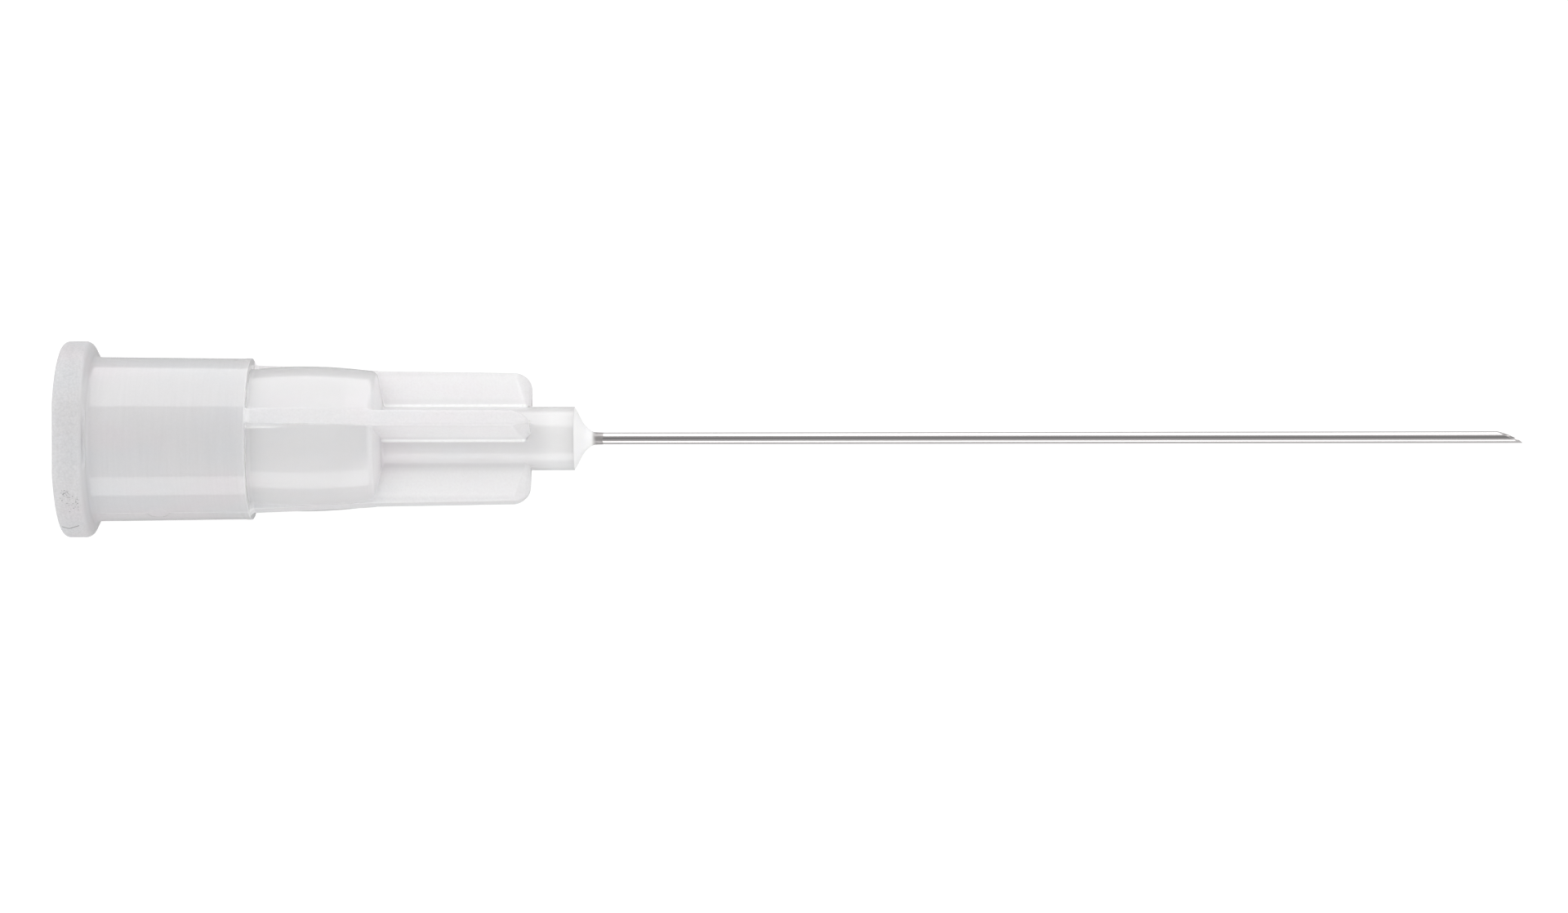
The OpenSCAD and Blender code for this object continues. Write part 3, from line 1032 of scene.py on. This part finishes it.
    def _section(self, base_r: float, foot: float, tip: tuple, normal: tuple) -> Ring:
        """The skin's section across one fin, from midway between fins to midway on its other side.

        Args:
            base_r: Radius of the body or nose there.
            foot: Place along the axis of the section's foot.
            tip: (place, radius) of the fin's crest.
            normal: (along, out) direction that the crest faces.

        Returns:
            (x, u, v) points: along the axis, out along the fin, and across it. One side has the flash.
        """
        s = self.sizes
        tip_x, tip_u = tip
        rise = max(tip_u - base_r, 0.0)
        fillet = min(s.fin_fillet, 0.7 * rise) + 1e-4
        corner = min(s.fin_edge_round, 0.35 * rise, 0.6 * self._half(tip_u, tip_x)) + 1e-5
        # the crest and its rounded edge
        edge_x, edge_u = tip_x - corner * normal[0], tip_u - corner * normal[1]
        flat = max(self._half(edge_u, edge_x) - corner, 0.02)
        points = [(tip_x, tip_u, flat * part) for part in (0.0, 0.45, 0.85, 1.0)]
        for t in np.radians((30, 60, 90)):
            back = corner * (1 - math.cos(t))
            points.append((tip_x - back * normal[0], tip_u - back * normal[1], flat + corner * math.sin(t)))
        # the fillet at the foot
        ends = s.root_fillet(base_r, self._half(base_r, foot), fillet)
        on_side, on_body = ends[1], ends[2]
        if on_side[0] > edge_u - 1e-4:
            on_side = (edge_u - 1e-4, on_side[1])
        for part in (0.08, 0.2, 0.35, 0.5, 0.65, 0.8, 0.92):
            x, u = edge_x + (foot - edge_x) * part, edge_u + (on_side[0] - edge_u) * part
            points.append((x, u, self._half(u, x)))
        points.append((foot, on_side[0], on_side[1]))
        fillet_start = len(points)
        for part in (0.15, 0.28, 0.38, 0.5, 0.65, 0.8, 1.0):
            points.append((foot, *s.fillet_point(ends, fillet, part)))
        # the body itself, round to midway between two fins
        start = math.atan2(on_body[1], on_body[0])
        left = self._half_columns() - len(points) + 1
        for part in np.linspace(0, 1, left + 1)[1:]:
            t = start + (math.pi / s.fin_count - start) * part
            points.append((foot, base_r * math.cos(t), base_r * math.sin(t)))
        right = np.array(points)
        left = right[:0:-1] * np.array([1, 1, -1])
        return np.concatenate([left, self._with_flash(right, fillet_start, ends[0])])

    def _half_columns(self) -> int:
        """How many parts the skin has between a fin's crest and midway to the next fin."""
        return round(self.sizes.sector_half() / self.column_step)

    def _with_flash(self, half: Ring, start: int, centre: tuple[float, float]) -> Ring:
        """Half a section with the flash raised on its fillet.

        Args:
            half: The half section.
            start: Index of the fillet's first point.
            centre: The fillet's centre, as (out, across).

        Returns:
            The same points, with those of the flash moved towards the centre.
        """
        height = self._flash_height(half[-1, 0])
        for index, share in enumerate(self.flash_profile, start):
            spot = half[index]
            towards = np.array([0.0, centre[0] - spot[1], centre[1] - spot[2]])
            half[index] = spot + towards / max(np.linalg.norm(towards), 1e-6) * height * share
        return half

    def _flash_height(self, x: float) -> float:
        """Height of the ragged flash along one root of a fin, at a place along the axis."""
        s = self.sizes
        if not s.shoulder_x + 0.2 < x < s.fin_end_x:
            return 0.0
        ragged = 0.55 + 0.25 * math.sin(9.1 * x + 1.3) * math.sin(23.7 * x) + 0.2 * math.sin(61.0 * x + 0.4)
        nub = 1.2 * math.exp(-(((x - s.fin_end_x + 0.13) / 0.045) ** 2))
        fade = 1 - float(smoothstep(np.array(x), s.fin_end_x - 0.11, s.fin_end_x - 0.04))
        return s.flash_h * (max(ragged, 0.1) + nub) * fade

    def _plain_ring(self, x: float, radius: float, mixed: Ring | None = None, share: float = 0.0) -> Ring:
        """A sector of a plain ring, whose columns may still be drawn to another ring's.

        Args:
            x: Place along the axis.
            radius: Its radius.
            mixed: Ring whose columns' angles are mixed in.
            share: How much of them is mixed in, from 0 to 1.

        Returns:
            The sector's points.
        """
        half = self.sizes.sector_half()
        even = np.radians(np.linspace(-half, half, 2 * self._half_columns() + 1))
        if mixed is not None:
            even = even + (np.arctan2(mixed[:, 2], mixed[:, 1]) - even) * share
        return ring_at(x, radius, even)

    def _crest(self, x: float) -> float:
        """Radius of the crest of a rib or fin at a place along the axis."""
        s = self.sizes
        places = (s.step_x, s.shoulder_x, s.fin_end_x - s.fin_corner)
        plain = np.interp(x, places, (s.rib_r, s.rib_end_r, s.fin_end_r))
        near_step = max(0.0, 1 - (x - s.step_x) / s.rib_start_round)
        return float(plain) + (s.barrel_end_r - 0.03 - s.rib_r) * near_step * near_step

    def _body_profile(self) -> list[tuple[float, float]]:
        """Place and radius of the body and nose, from the step to where the fins' corners begin."""
        s, root = self.sizes, self.step_root
        profile = [(s.step_x, s.body_r + root + 0.02)]
        profile += [(x, r) for r, x in arc((s.body_r + root, s.step_x + root), root, 270, 180, 4)]
        run = s.shoulder_x - s.shoulder_round - s.step_x
        for u in np.linspace(0.03, 1, 30):
            radius = s.body_r + (s.body_end_r - s.body_r) * u + s.body_swell * 4 * u * (1 - u)
            profile.append((s.step_x + run * u, radius))
        centre = (s.body_end_r - s.shoulder_round, s.shoulder_x - s.shoulder_round)
        turned = arc(centre, s.shoulder_round, 0, 90 - s.shoulder_slope, 12)
        profile += [(x, r) for r, x in turned[1:]]
        top_r, top_x = turned[-1]
        slope = math.tan(math.radians(s.shoulder_slope))
        foot_x = top_x + (top_r - s.nose_r - s.nose_fillet) * slope
        for part in (0.06, 0.2, 0.35, 0.5, 0.65, 0.8, 0.94):
            r = top_r + (s.nose_r + s.nose_fillet - top_r) * part
            profile.append((top_x + (top_r - r) * slope, r))
        centre = (s.nose_r + s.nose_fillet, foot_x + s.nose_fillet)
        profile += [(x, r) for r, x in arc(centre, s.nose_fillet, 270 - s.shoulder_slope, 180, 5)]
        end = s.fin_end_x - s.fin_corner
        profile += [(x, s.nose_r) for x in np.linspace(profile[-1][0], end, 71)[1:]]
        return profile

    def _fin_end_rings(self) -> list[Ring]:
        """Rings that fan round a fin's outer corner and down its free end."""
        s = self.sizes
        start, foot = s.fin_end_x - s.fin_corner, self.free_end_foot
        outline = []
        for t in np.radians(np.linspace(0, 90, 13))[1:]:
            place = (start + s.fin_corner * math.sin(t), s.fin_end_r - s.fin_corner * (1 - math.cos(t)))
            outline.append((place, (math.sin(t), math.cos(t))))
        for r in np.linspace(s.fin_end_r - s.fin_corner, s.nose_r + foot, 9)[1:]:
            outline.append(((s.fin_end_x, r), (1.0, 0.0)))
        for t in np.radians(np.linspace(0, 90, 6))[1:]:
            place = (s.fin_end_x + foot * (1 - math.cos(t)), s.nose_r + foot * (1 - math.sin(t)))
            outline.append((place, (math.cos(t), math.sin(t))))
        feet = np.linspace(start, s.fin_end_x - 0.02, len(outline) + 1)[1:]
        return [self._section(s.nose_r, x, tip, normal) for x, (tip, normal) in zip(feet, outline)]

    def _sector_rings(self) -> list[Ring]:
        """Rings of one fin's quarter of the hub, from the step to the nose's open end."""
        s = self.sizes
        step_r = s.barrel_end_r + s.ring_h - s.step_chamfer_r
        rings = [self._plain_ring(s.step_x, step_r)]
        for x, r in self._body_profile():
            rings.append(self._section(r, x, (x, self._crest(x)), (0.0, 1.0)))
        rings += self._fin_end_rings()
        last = rings[-1]
        for gap, share in self.nose_gaps:
            rings.append(self._plain_ring(s.fin_end_x + gap, s.nose_r, last, share))
        soft = self.edge_round
        for r, x in arc((s.nose_r - soft, s.nose_end_x - soft), soft, 0, 90, 4):
            rings.append(self._plain_ring(x, r))
        rings.append(self._plain_ring(s.nose_end_x, s.well_r + 0.03))
        rings.append(self._plain_ring(s.nose_end_x, s.well_r))
        return rings


@dataclass(frozen=True)
class FinRepeat:
    """Repeats one fin's sector round the axis and joins it to the core of the hub."""

    count: int
    turn_degrees: float

    def _tree(self) -> bpy.types.NodeTree:
        """The geometry node tree, with the count, turn, sector and material as inputs."""
        tree, build, given, out = node_group(
            "fins_round_the_hub",
            "GeometryNodeTree",
            [("Core", SHAPE), ("Sector", OBJECT), ("Fin Count", COUNT), ("Fin Turn", VALUE),
             ("Merge Distance", VALUE), ("Material", MATERIAL)],
            [("Hub", SHAPE)],
        )
        sector = build.add("GeometryNodeObjectInfo", transform_space="ORIGINAL")
        build.feed(sector.inputs["Object"], given.outputs["Sector"])
        points = build.add("GeometryNodePoints")
        build.feed(points.inputs["Count"], given.outputs["Fin Count"])
        index = build.add("GeometryNodeInputIndex").outputs[0]
        part = build.math("DIVIDE", 2 * math.pi, given.outputs["Fin Count"])
        turn = build.times_plus(index, part, given.outputs["Fin Turn"])
        angles = build.add("ShaderNodeCombineXYZ")
        build.feed(angles.inputs[0], turn)
        placed = build.add("GeometryNodeInstanceOnPoints")
        build.feed(placed.inputs["Points"], points.outputs[0])
        build.feed(placed.inputs["Instance"], sector.outputs["Geometry"])
        build.feed(placed.inputs["Rotation"], angles.outputs[0])
        real = build.add("GeometryNodeRealizeInstances")
        build.feed(real.inputs[0], placed.outputs[0])
        join = build.add("GeometryNodeJoinGeometry")
        build.feed(join.inputs[0], given.outputs["Core"])
        build.feed(join.inputs[0], real.outputs[0])
        merged = build.add("GeometryNodeMergeByDistance")
        build.feed(merged.inputs["Geometry"], join.outputs[0])
        build.feed(merged.inputs["Distance"], given.outputs["Merge Distance"])
        dressed = build.add("GeometryNodeSetMaterial")
        build.feed(dressed.inputs["Geometry"], merged.outputs[0])
        build.feed(dressed.inputs["Material"], given.outputs["Material"])
        build.feed(out.inputs["Hub"], dressed.outputs[0])
        return tree

    def apply(
        self, core: bpy.types.Object, sector: bpy.types.Object, material: bpy.types.Material
    ) -> bpy.types.Object:
        """Runs the tree on the core and makes the result a plain mesh.

        Args:
            core: The hub's core.
            sector: One fin's quarter, which is removed afterwards.
            material: The hub's material.

        Returns:
            The core's object with the whole hub as its mesh.
        """
        values = {
            "Sector": sector, "Fin Count": self.count, "Fin Turn": math.radians(self.turn_degrees),
            "Merge Distance": MERGE, "Material": material,
        }
        made = run_tree(core, self._tree(), values)
        bpy.data.objects.remove(sector)
        return made


def run_tree(target: bpy.types.Object, tree: bpy.types.NodeTree, values: dict) -> bpy.types.Object:
    """Runs a geometry node tree on an object and keeps the result as a plain mesh.

    Args:
        target: The object that carries the modifier.
        tree: The tree.
        values: Value of each named input.

    Returns:
        The same object with its new mesh and no modifier.
    """
    modifier = target.modifiers.new(tree.name, "NODES")
    modifier.node_group = tree
    for item in tree.interface.items_tree:
        if item.item_type == "SOCKET" and item.in_out == "INPUT" and item.name in values:
            modifier[item.identifier] = values[item.name]
    graph = bpy.context.evaluated_depsgraph_get()
    mesh = bpy.data.meshes.new_from_object(target.evaluated_get(graph), depsgraph=graph)
    target.modifiers.remove(modifier)
    # the slot of the mesh that went in is empty and comes first
    while mesh.materials and mesh.materials[0] is None:
        mesh.materials.pop(index=0)
    old = target.data
    mesh.name = target.name
    target.data = mesh
    bpy.data.meshes.remove(old)
    return target


# Cannula


@dataclass
class Cannula:
    """The steel tube with its ground lancet point."""

    outer_r: float = 0.235
    bore_r: float = 0.13
    start_x: float = HubSizes.seat_x
    tip_x: float = 58.04
    heel_x: float = 56.99
    tip_land: float = 0.066
    bevel_turn: float = 15.0
    lancet_angle: float = 36.0
    lancet_turn: float = 30.0
    around: int = 160
    along: int = 24
    sharp_angle: float = 20.0

    def _faces(self) -> list[tuple[Vector, Vector]]:
        """Point and outward normal of each ground face, in millimetres."""
        turn = math.radians(self.bevel_turn)
        heel_side = Vector((0, math.cos(turn), math.sin(turn)))
        heel = Vector((self.heel_x, 0, 0)) + heel_side * self.outer_r
        tip = Vector((self.tip_x, 0, 0)) - heel_side * self.outer_r
        slope = math.atan2(2 * self.outer_r - self.tip_land, self.tip_x - self.heel_x)
        faces = [(heel, Vector((math.sin(slope), 0, 0)) + heel_side * math.cos(slope))]
        for side in (-1, 1):
            lean, spin = math.radians(self.lancet_angle), turn + side * math.radians(self.lancet_turn)
            out = Vector((0, math.cos(spin), math.sin(spin)))
            faces.append((tip, Vector((math.sin(lean), 0, 0)) + out * math.cos(lean)))
        return faces

    def _tree(self) -> bpy.types.NodeTree:
        """The geometry node tree: a grid rolled into a double wall and cut off by the ground faces."""
        sockets = [(label, VALUE) for label in ("Outer Radius", "Bore Radius", "Start", "Tip")]
        sockets += [("Along", COUNT), ("Around", COUNT)]
        for number in range(3):
            sockets += [(f"Face {number} Point", VECTOR), (f"Face {number} Normal", VECTOR)]
        sockets += [("Material", MATERIAL)]
        tree, build, given, out = node_group("ground_tube", "GeometryNodeTree", sockets, [("Tube", SHAPE)])
        # rows 0 to n are the outside from start to tip, rows n + 1 to 2 n + 1 the bore on the way back,
        # and the last row is the first again
        count = given.outputs["Along"]
        rows = build.times_plus(count, 2.0, 3.0)
        columns = build.plus(given.outputs["Around"], 1.0)
        values = {"Size X": 1.0, "Size Y": 1.0, "Vertices X": rows, "Vertices Y": columns}
        grid = build.fill(build.add("GeometryNodeMeshGrid"), values)
        x, y, _ = build.xyz(build.add("GeometryNodeInputPosition").outputs[0])
        last = build.minus(rows, 1.0)
        row = build.math("ROUND", build.times(build.plus(x, 0.5), last))
        row = build.times(row, build.math("LESS_THAN", row, build.minus(last, 0.5)))
        angle = build.times(build.plus(y, 0.5), 2 * math.pi)
        back = build.minus(build.times_plus(count, 2.0, 1.0), row)
        in_bore = build.math("GREATER_THAN", row, build.plus(count, 0.5))
        step = build.math("MINIMUM", row, back)
        share = build.math("DIVIDE", step, count)
        length = build.minus(given.outputs["Tip"], given.outputs["Start"])
        place = build.times_plus(share, length, given.outputs["Start"])
        thinner = build.minus(given.outputs["Bore Radius"], given.outputs["Outer Radius"])
        radius = build.times_plus(in_bore, thinner, given.outputs["Outer Radius"])
        py = build.times(radius, build.math("COSINE", angle))
        pz = build.times(radius, build.math("SINE", angle))
        for number in range(3):
            ox, oy, oz = build.xyz(given.outputs[f"Face {number} Point"])
            nx, ny, nz = build.xyz(given.outputs[f"Face {number} Normal"])
            out_y = build.times(ny, build.minus(py, oy))
            out_z = build.times(nz, build.minus(pz, oz))
            limit = build.minus(ox, build.math("DIVIDE", build.plus(out_y, out_z), nx))
            place = build.math("MINIMUM", place, limit)
        spot = build.add("ShaderNodeCombineXYZ")
        for target, value in zip(spot.inputs, (place, py, pz)):
            build.feed(target, value)
        moved = build.add("GeometryNodeSetPosition")
        build.feed(moved.inputs["Geometry"], grid.outputs["Mesh"])
        build.feed(moved.inputs["Position"], spot.outputs[0])
        real = build.add("GeometryNodeRealizeInstances")
        build.feed(real.inputs[0], moved.outputs[0])
        dressed = build.add("GeometryNodeSetMaterial")
        build.feed(dressed.inputs["Geometry"], real.outputs[0])
        build.feed(dressed.inputs["Material"], given.outputs["Material"])
        build.feed(out.inputs["Tube"], dressed.outputs[0])
        return tree

    def build(self, material: bpy.types.Material) -> bpy.types.Object:
        """Builds the cannula as one closed mesh with that material."""
        target = new_object("cannula_tube", bpy.data.meshes.new("cannula_tube"))
        values: dict = {
            "Outer Radius": self.outer_r * MM, "Bore Radius": self.bore_r * MM,
            "Start": self.start_x * MM, "Tip": self.tip_x * MM,
            "Along": self.along, "Around": self.around, "Material": material,
        }
        for number, (point, normal) in enumerate(self._faces()):
            values[f"Face {number} Point"] = tuple(point * MM)
            values[f"Face {number} Normal"] = tuple(normal)
        made = run_tree(target, self._tree(), values)
        tidy_mesh(made.data, self.sharp_angle)
        return made


# Adhesive


@dataclass
class AdhesiveBond:
    """The adhesive: a sleeve in the seat, the filled well, a cone beyond the nose and a thin film."""

    sizes: HubSizes = field(default_factory=HubSizes)
    cannula_r: float = Cannula.outer_r
    film_t: float = 0.014
    cone: tuple = (
        (0.0, 1.248), (0.06, 1.18), (0.15, 1.05), (0.253, 0.875), (0.35, 0.715), (0.446, 0.59),
        (0.54, 0.495), (0.639, 0.42), (0.74, 0.35), (0.837, 0.295), (0.92, 0.262), (1.0, 0.249),
    )
    cone_average: float = 0.05
    waves: tuple = ((0.02, 2, 0.7), (0.012, 5, 2.0))
    overlap: float = 0.003
    around: int = 96
    sharp_angle: float = 40.0

    def build(self, material: bpy.types.Material) -> bpy.types.Object:
        """Builds the bond as one closed mesh with that material."""
        s = self.sizes
        inner = self.cannula_r - self.overlap
        path = [(inner, s.seat_x + 0.01), (s.seat_r, s.seat_x + 0.01)]
        path += [(s.seat_r + self.overlap, x) for x in np.linspace(s.seat_x + 0.02, s.well_x, 6)]
        path += [(s.well_r + self.overlap, s.nose_end_x - 0.015), (s.nose_r - 0.002, s.nose_end_x - 0.016)]
        shares, radii = np.array(self.cone).T
        for u in np.linspace(0, 1, 34):
            # a short average keeps the measured points from showing as corners
            spots = np.clip(u + np.linspace(-self.cone_average, self.cone_average, 9), 0, 1)
            radius = np.interp(spots, shares, radii).mean()
            path.append((radius, s.nose_end_x + (s.cone_end_x - s.nose_end_x) * u))
        path += [(self.cannula_r + self.film_t * 0.7, s.cone_end_x + 0.16)]
        path += [(self.cannula_r + self.film_t / 3, s.film_end_x - 0.02), (inner, s.film_end_x)]
        angles = np.linspace(0, 2 * math.pi, self.around, endpoint=False)
        rings = []
        for r, x in path + path[:1]:
            beyond = max(0.0, min(1.0, (x - s.nose_end_x) / (s.film_end_x - s.nose_end_x)))
            wave = beyond * sum(size * np.sin(angles * times + shift) for size, times, shift in self.waves)
            place = x + np.minimum(wave, 0.0) * (beyond > 0)
            rings.append(ring_at(place, r, angles))
        made = new_object("bond_meniscus", mesh_from_rings("bond_meniscus", rings, closed=True))
        tidy_mesh(made.data, self.sharp_angle)
        made.data.materials.append(material)
        return made


# Stage


@dataclass
class Studio:
    """Pale floor, a world that is white to the camera, two soft lamps and the camera straight above.

    Attributes:
        floor_z: Height of the floor, just below the flange's lower flat.
        floor_half: Half the floor's width.
        floor_grey: Its colour to light that bounces once.
        floor_grey_mirrored: Its colour in reflections.
        floor_grey_seen: Its colour to the camera, where the glow makes up for the rest.
        floor_glow: Light that it gives to the camera.
        floor_painted_glow: A painted band of light on the floor that only reflections see: where across the
            needle it begins and ends, and how bright it is.
        camera_at: Place of the camera, in metres.
        camera_roll: Its turn round its own axis, in degrees.
        lens: Its focal length, in millimetres.
        sensor: Its width of film, in millimetres.
        clip: The distances between which it sees, in metres.
        fill: Even light on the object.
        end_lift: Share by which the fill is stronger along the needle.
        seen_through: The world behind clear plastic.
        ceiling: Brightness straight above in reflections, and on the slopes beside it.
        ceiling_slope: Angles from straight up between which it rises, in degrees.
        walls: Brightness of the walls in reflections.
        ends: Brightness at the needle's two ends in reflections.
        ends_from: Share of a direction along the needle between which the ends begin.
        strips: The two strip lights, as (sign of the side, first angle, last angle, brightness).
        strip_soft: Width of a strip's soft edge, in degrees.
        lamps: The two lamps, as (name, direction, brightness).
        lamp_size: Length and width of a lamp, in metres.
        lamp_distance: Its distance from the place that it is aimed at, in metres.
        lamp_aim: That place, in metres.
    """

    floor_z: float = -0.00361
    floor_half: float = 3.0
    floor_grey: float = 0.8
    floor_grey_mirrored: float = 0.6
    floor_grey_seen: float = 0.3
    floor_glow: float = 0.8
    floor_painted_glow: tuple = (0.0108, 0.0122, 1.3)
    camera_at: tuple = (0.02863, -0.000728, 0.190)
    camera_roll: float = -0.086
    lens: float = 109.6
    sensor: float = 36.0
    clip: tuple = (0.005, 10.0)
    fill: float = 1.08
    end_lift: float = 0.35
    seen_through: float = 1.0
    ceiling: tuple = (0.3, 0.75)
    ceiling_slope: tuple = (4.0, 50.0, 56.0)
    walls: float = 0.5
    ends: float = 1.1
    ends_from: tuple = (0.48, 0.62)
    strips: tuple = ((1.0, 46.0, 96.0, 2.5), (-1.0, 54.0, 88.0, 2.2))
    strip_soft: float = 2.0
    lamps: tuple = (("upper_lamp", (-0.2, 0.7, 0.6), 0.9), ("lower_lamp", (-0.1, -0.8, 0.45), 0.5))
    lamp_size: tuple = (0.5, 0.3)
    lamp_distance: float = 0.5
    lamp_aim: tuple = (0.02, 0.0, 0.0)

    def build(self) -> None:
        """Makes the stage."""
        self._floor()
        self._world()
        for name, towards, radiance in self.lamps:
            self._lamp(name, towards, radiance)
        self._camera()
        bpy.context.scene.view_settings.view_transform = "Standard"

    def _floor(self) -> None:
        """A wide pale floor, white to the camera except for a faint shadow."""
        half, z = self.floor_half, self.floor_z
        mesh = bpy.data.meshes.new("floor")
        corners = [(-half, -half, z), (half, -half, z), (half, half, z), (-half, half, z)]
        mesh.from_pydata(corners, [], [(0, 1, 2, 3)])
        made, build, place = new_material("floor_white")
        path = build.add("ShaderNodeLightPath")
        mirrored = path.outputs["Is Glossy Ray"]
        seen = build.math("MAXIMUM", path.outputs["Is Camera Ray"], path.outputs["Is Transmission Ray"])
        grey = build.mix_value(mirrored, self.floor_grey, self.floor_grey_mirrored)
        plain = build.add("ShaderNodeBsdfDiffuse")
        build.feed(plain.inputs["Color"], build.mix_value(seen, grey, self.floor_grey_seen))
        # a painted pool of light: reflections find the floor bright a little way off, where the upper light
        # would fall on it
        near, far, brightness = self.floor_painted_glow
        bright = build.times(mirrored, build.minus(1.0, seen))
        bright = build.times(bright, build.ramp(build.xyz(place)[1], near, far, 0.0, brightness))
        glow = build.add("ShaderNodeEmission")
        build.feed(glow.inputs["Strength"], build.times_plus(seen, self.floor_glow, bright))
        both = build.add("ShaderNodeAddShader")
        build.feed(both.inputs[0], plain.outputs[0])
        build.feed(both.inputs[1], glow.outputs[0])
        build.surface(both)
        mesh.materials.append(made)
        floor = new_object("floor", mesh)

    def _world(self) -> None:
        """White to the camera, an even fill on the object, and a ceiling and strips in reflections."""
        world = bpy.data.worlds.new("studio")
        bpy.context.scene.world = world
        world.use_nodes = True
        world.node_tree.nodes.clear()
        build = TreeBuilder(world.node_tree)
        path = build.add("ShaderNodeLightPath")
        camera, through = path.outputs["Is Camera Ray"], path.outputs["Is Transmission Ray"]
        mirrored = build.times(path.outputs["Is Glossy Ray"], build.minus(1.0, through))
        along, across, up = build.xyz(build.add("ShaderNodeTexCoord").outputs["Generated"])
        along = build.math("ABSOLUTE", along)
        # the angle from straight up, seen along the needle, in degrees: positive on the +Y side
        angle = build.math("DEGREES", build.math("ARCTAN2", across, up))
        steep = build.math("ABSOLUTE", angle)
        first, edge, wall = self.ceiling_slope
        ceiling = build.ramp(steep, first, edge, *self.ceiling)
        ceiling = build.mix_value(build.ramp(steep, edge, wall), ceiling, self.walls)
        for sign, high, low, radiance in self.strips:
            turned = build.times(angle, sign)
            starts = build.ramp(turned, high, high + self.strip_soft)
            inside = build.times(starts, build.ramp(turned, low - self.strip_soft, low, 1.0, 0.0))
            ceiling = build.mix_value(inside, ceiling, radiance)
        ceiling = build.mix_value(build.ramp(along, *self.ends_from), ceiling, self.ends)
        level = build.times_plus(build.times(along, along), self.fill * self.end_lift, self.fill)
        for share, value in ((mirrored, ceiling), (through, self.seen_through), (camera, 1.0)):
            level = build.mix_value(share, level, value)
        back = build.add("ShaderNodeBackground")
        build.feed(back.inputs["Strength"], level)
        build.surface(back, "ShaderNodeOutputWorld")

    def _lamp(self, name: str, towards: tuple, radiance: float) -> None:
        """A wide soft lamp above the needle, which no reflection shows.

        Args:
            name: Its name.
            towards: Direction from the place that it is aimed at to the lamp.
            radiance: Brightness as seen, where 1 is white.
        """
        light = bpy.data.lights.new(name, "AREA")
        light.shape = "RECTANGLE"
        light.size, light.size_y = self.lamp_size
        light.energy = radiance * math.pi * light.size * light.size_y
        made = bpy.data.objects.new(name, light)
        bpy.context.scene.collection.objects.link(made)
        away = Vector(towards).normalized()
        made.location = Vector(self.lamp_aim) + away * self.lamp_distance
        made.rotation_mode = "QUATERNION"
        made.rotation_quaternion = away.to_track_quat("Z", "Y")
        made.visible_camera = False
        made.visible_glossy = False

    def _camera(self) -> None:
        """The camera straight above the needle."""
        data = bpy.data.cameras.new("camera")
        data.lens, data.sensor_width = self.lens, self.sensor
        data.sensor_fit = "HORIZONTAL"
        data.clip_start, data.clip_end = self.clip
        made = bpy.data.objects.new("camera", data)
        bpy.context.scene.collection.objects.link(made)
        made.location = self.camera_at
        made.rotation_euler = (0.0, 0.0, math.radians(self.camera_roll))
        bpy.context.scene.camera = made


# Assembly


def attach(piece: bpy.types.Object, node: str) -> None:
    """Lets a piece stand for a CAD node and ride on the body.

    Args:
        piece: The finished piece.
        node: Name of the CAD node.
    """
    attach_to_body(piece, BODY)
    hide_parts(node)
    LOG.info("%s stands for %s: %d faces", piece.name, node, len(piece.data.polygons))


def main() -> None:
    """Builds the stage and every piece of the needle."""
    logging.basicConfig(level=logging.INFO, format="%(name)s: %(message)s")
    mottle, grain = mottle_group(), grain_group()
    sizes = HubSizes()
    Studio().build()
    hub = Hub(sizes).build(NaturalPlastic().material(mottle, grain, sizes))
    attach(hub, "hub")
    cannula = Cannula().build(DrawnSteel().material(grain))
    attach(cannula, "cannula")
    bond = AdhesiveBond(sizes).build(CuredAdhesive().material(mottle, grain, sizes))
    attach(bond, "adhesive_bond")


if __name__ == "__main__":
    main()
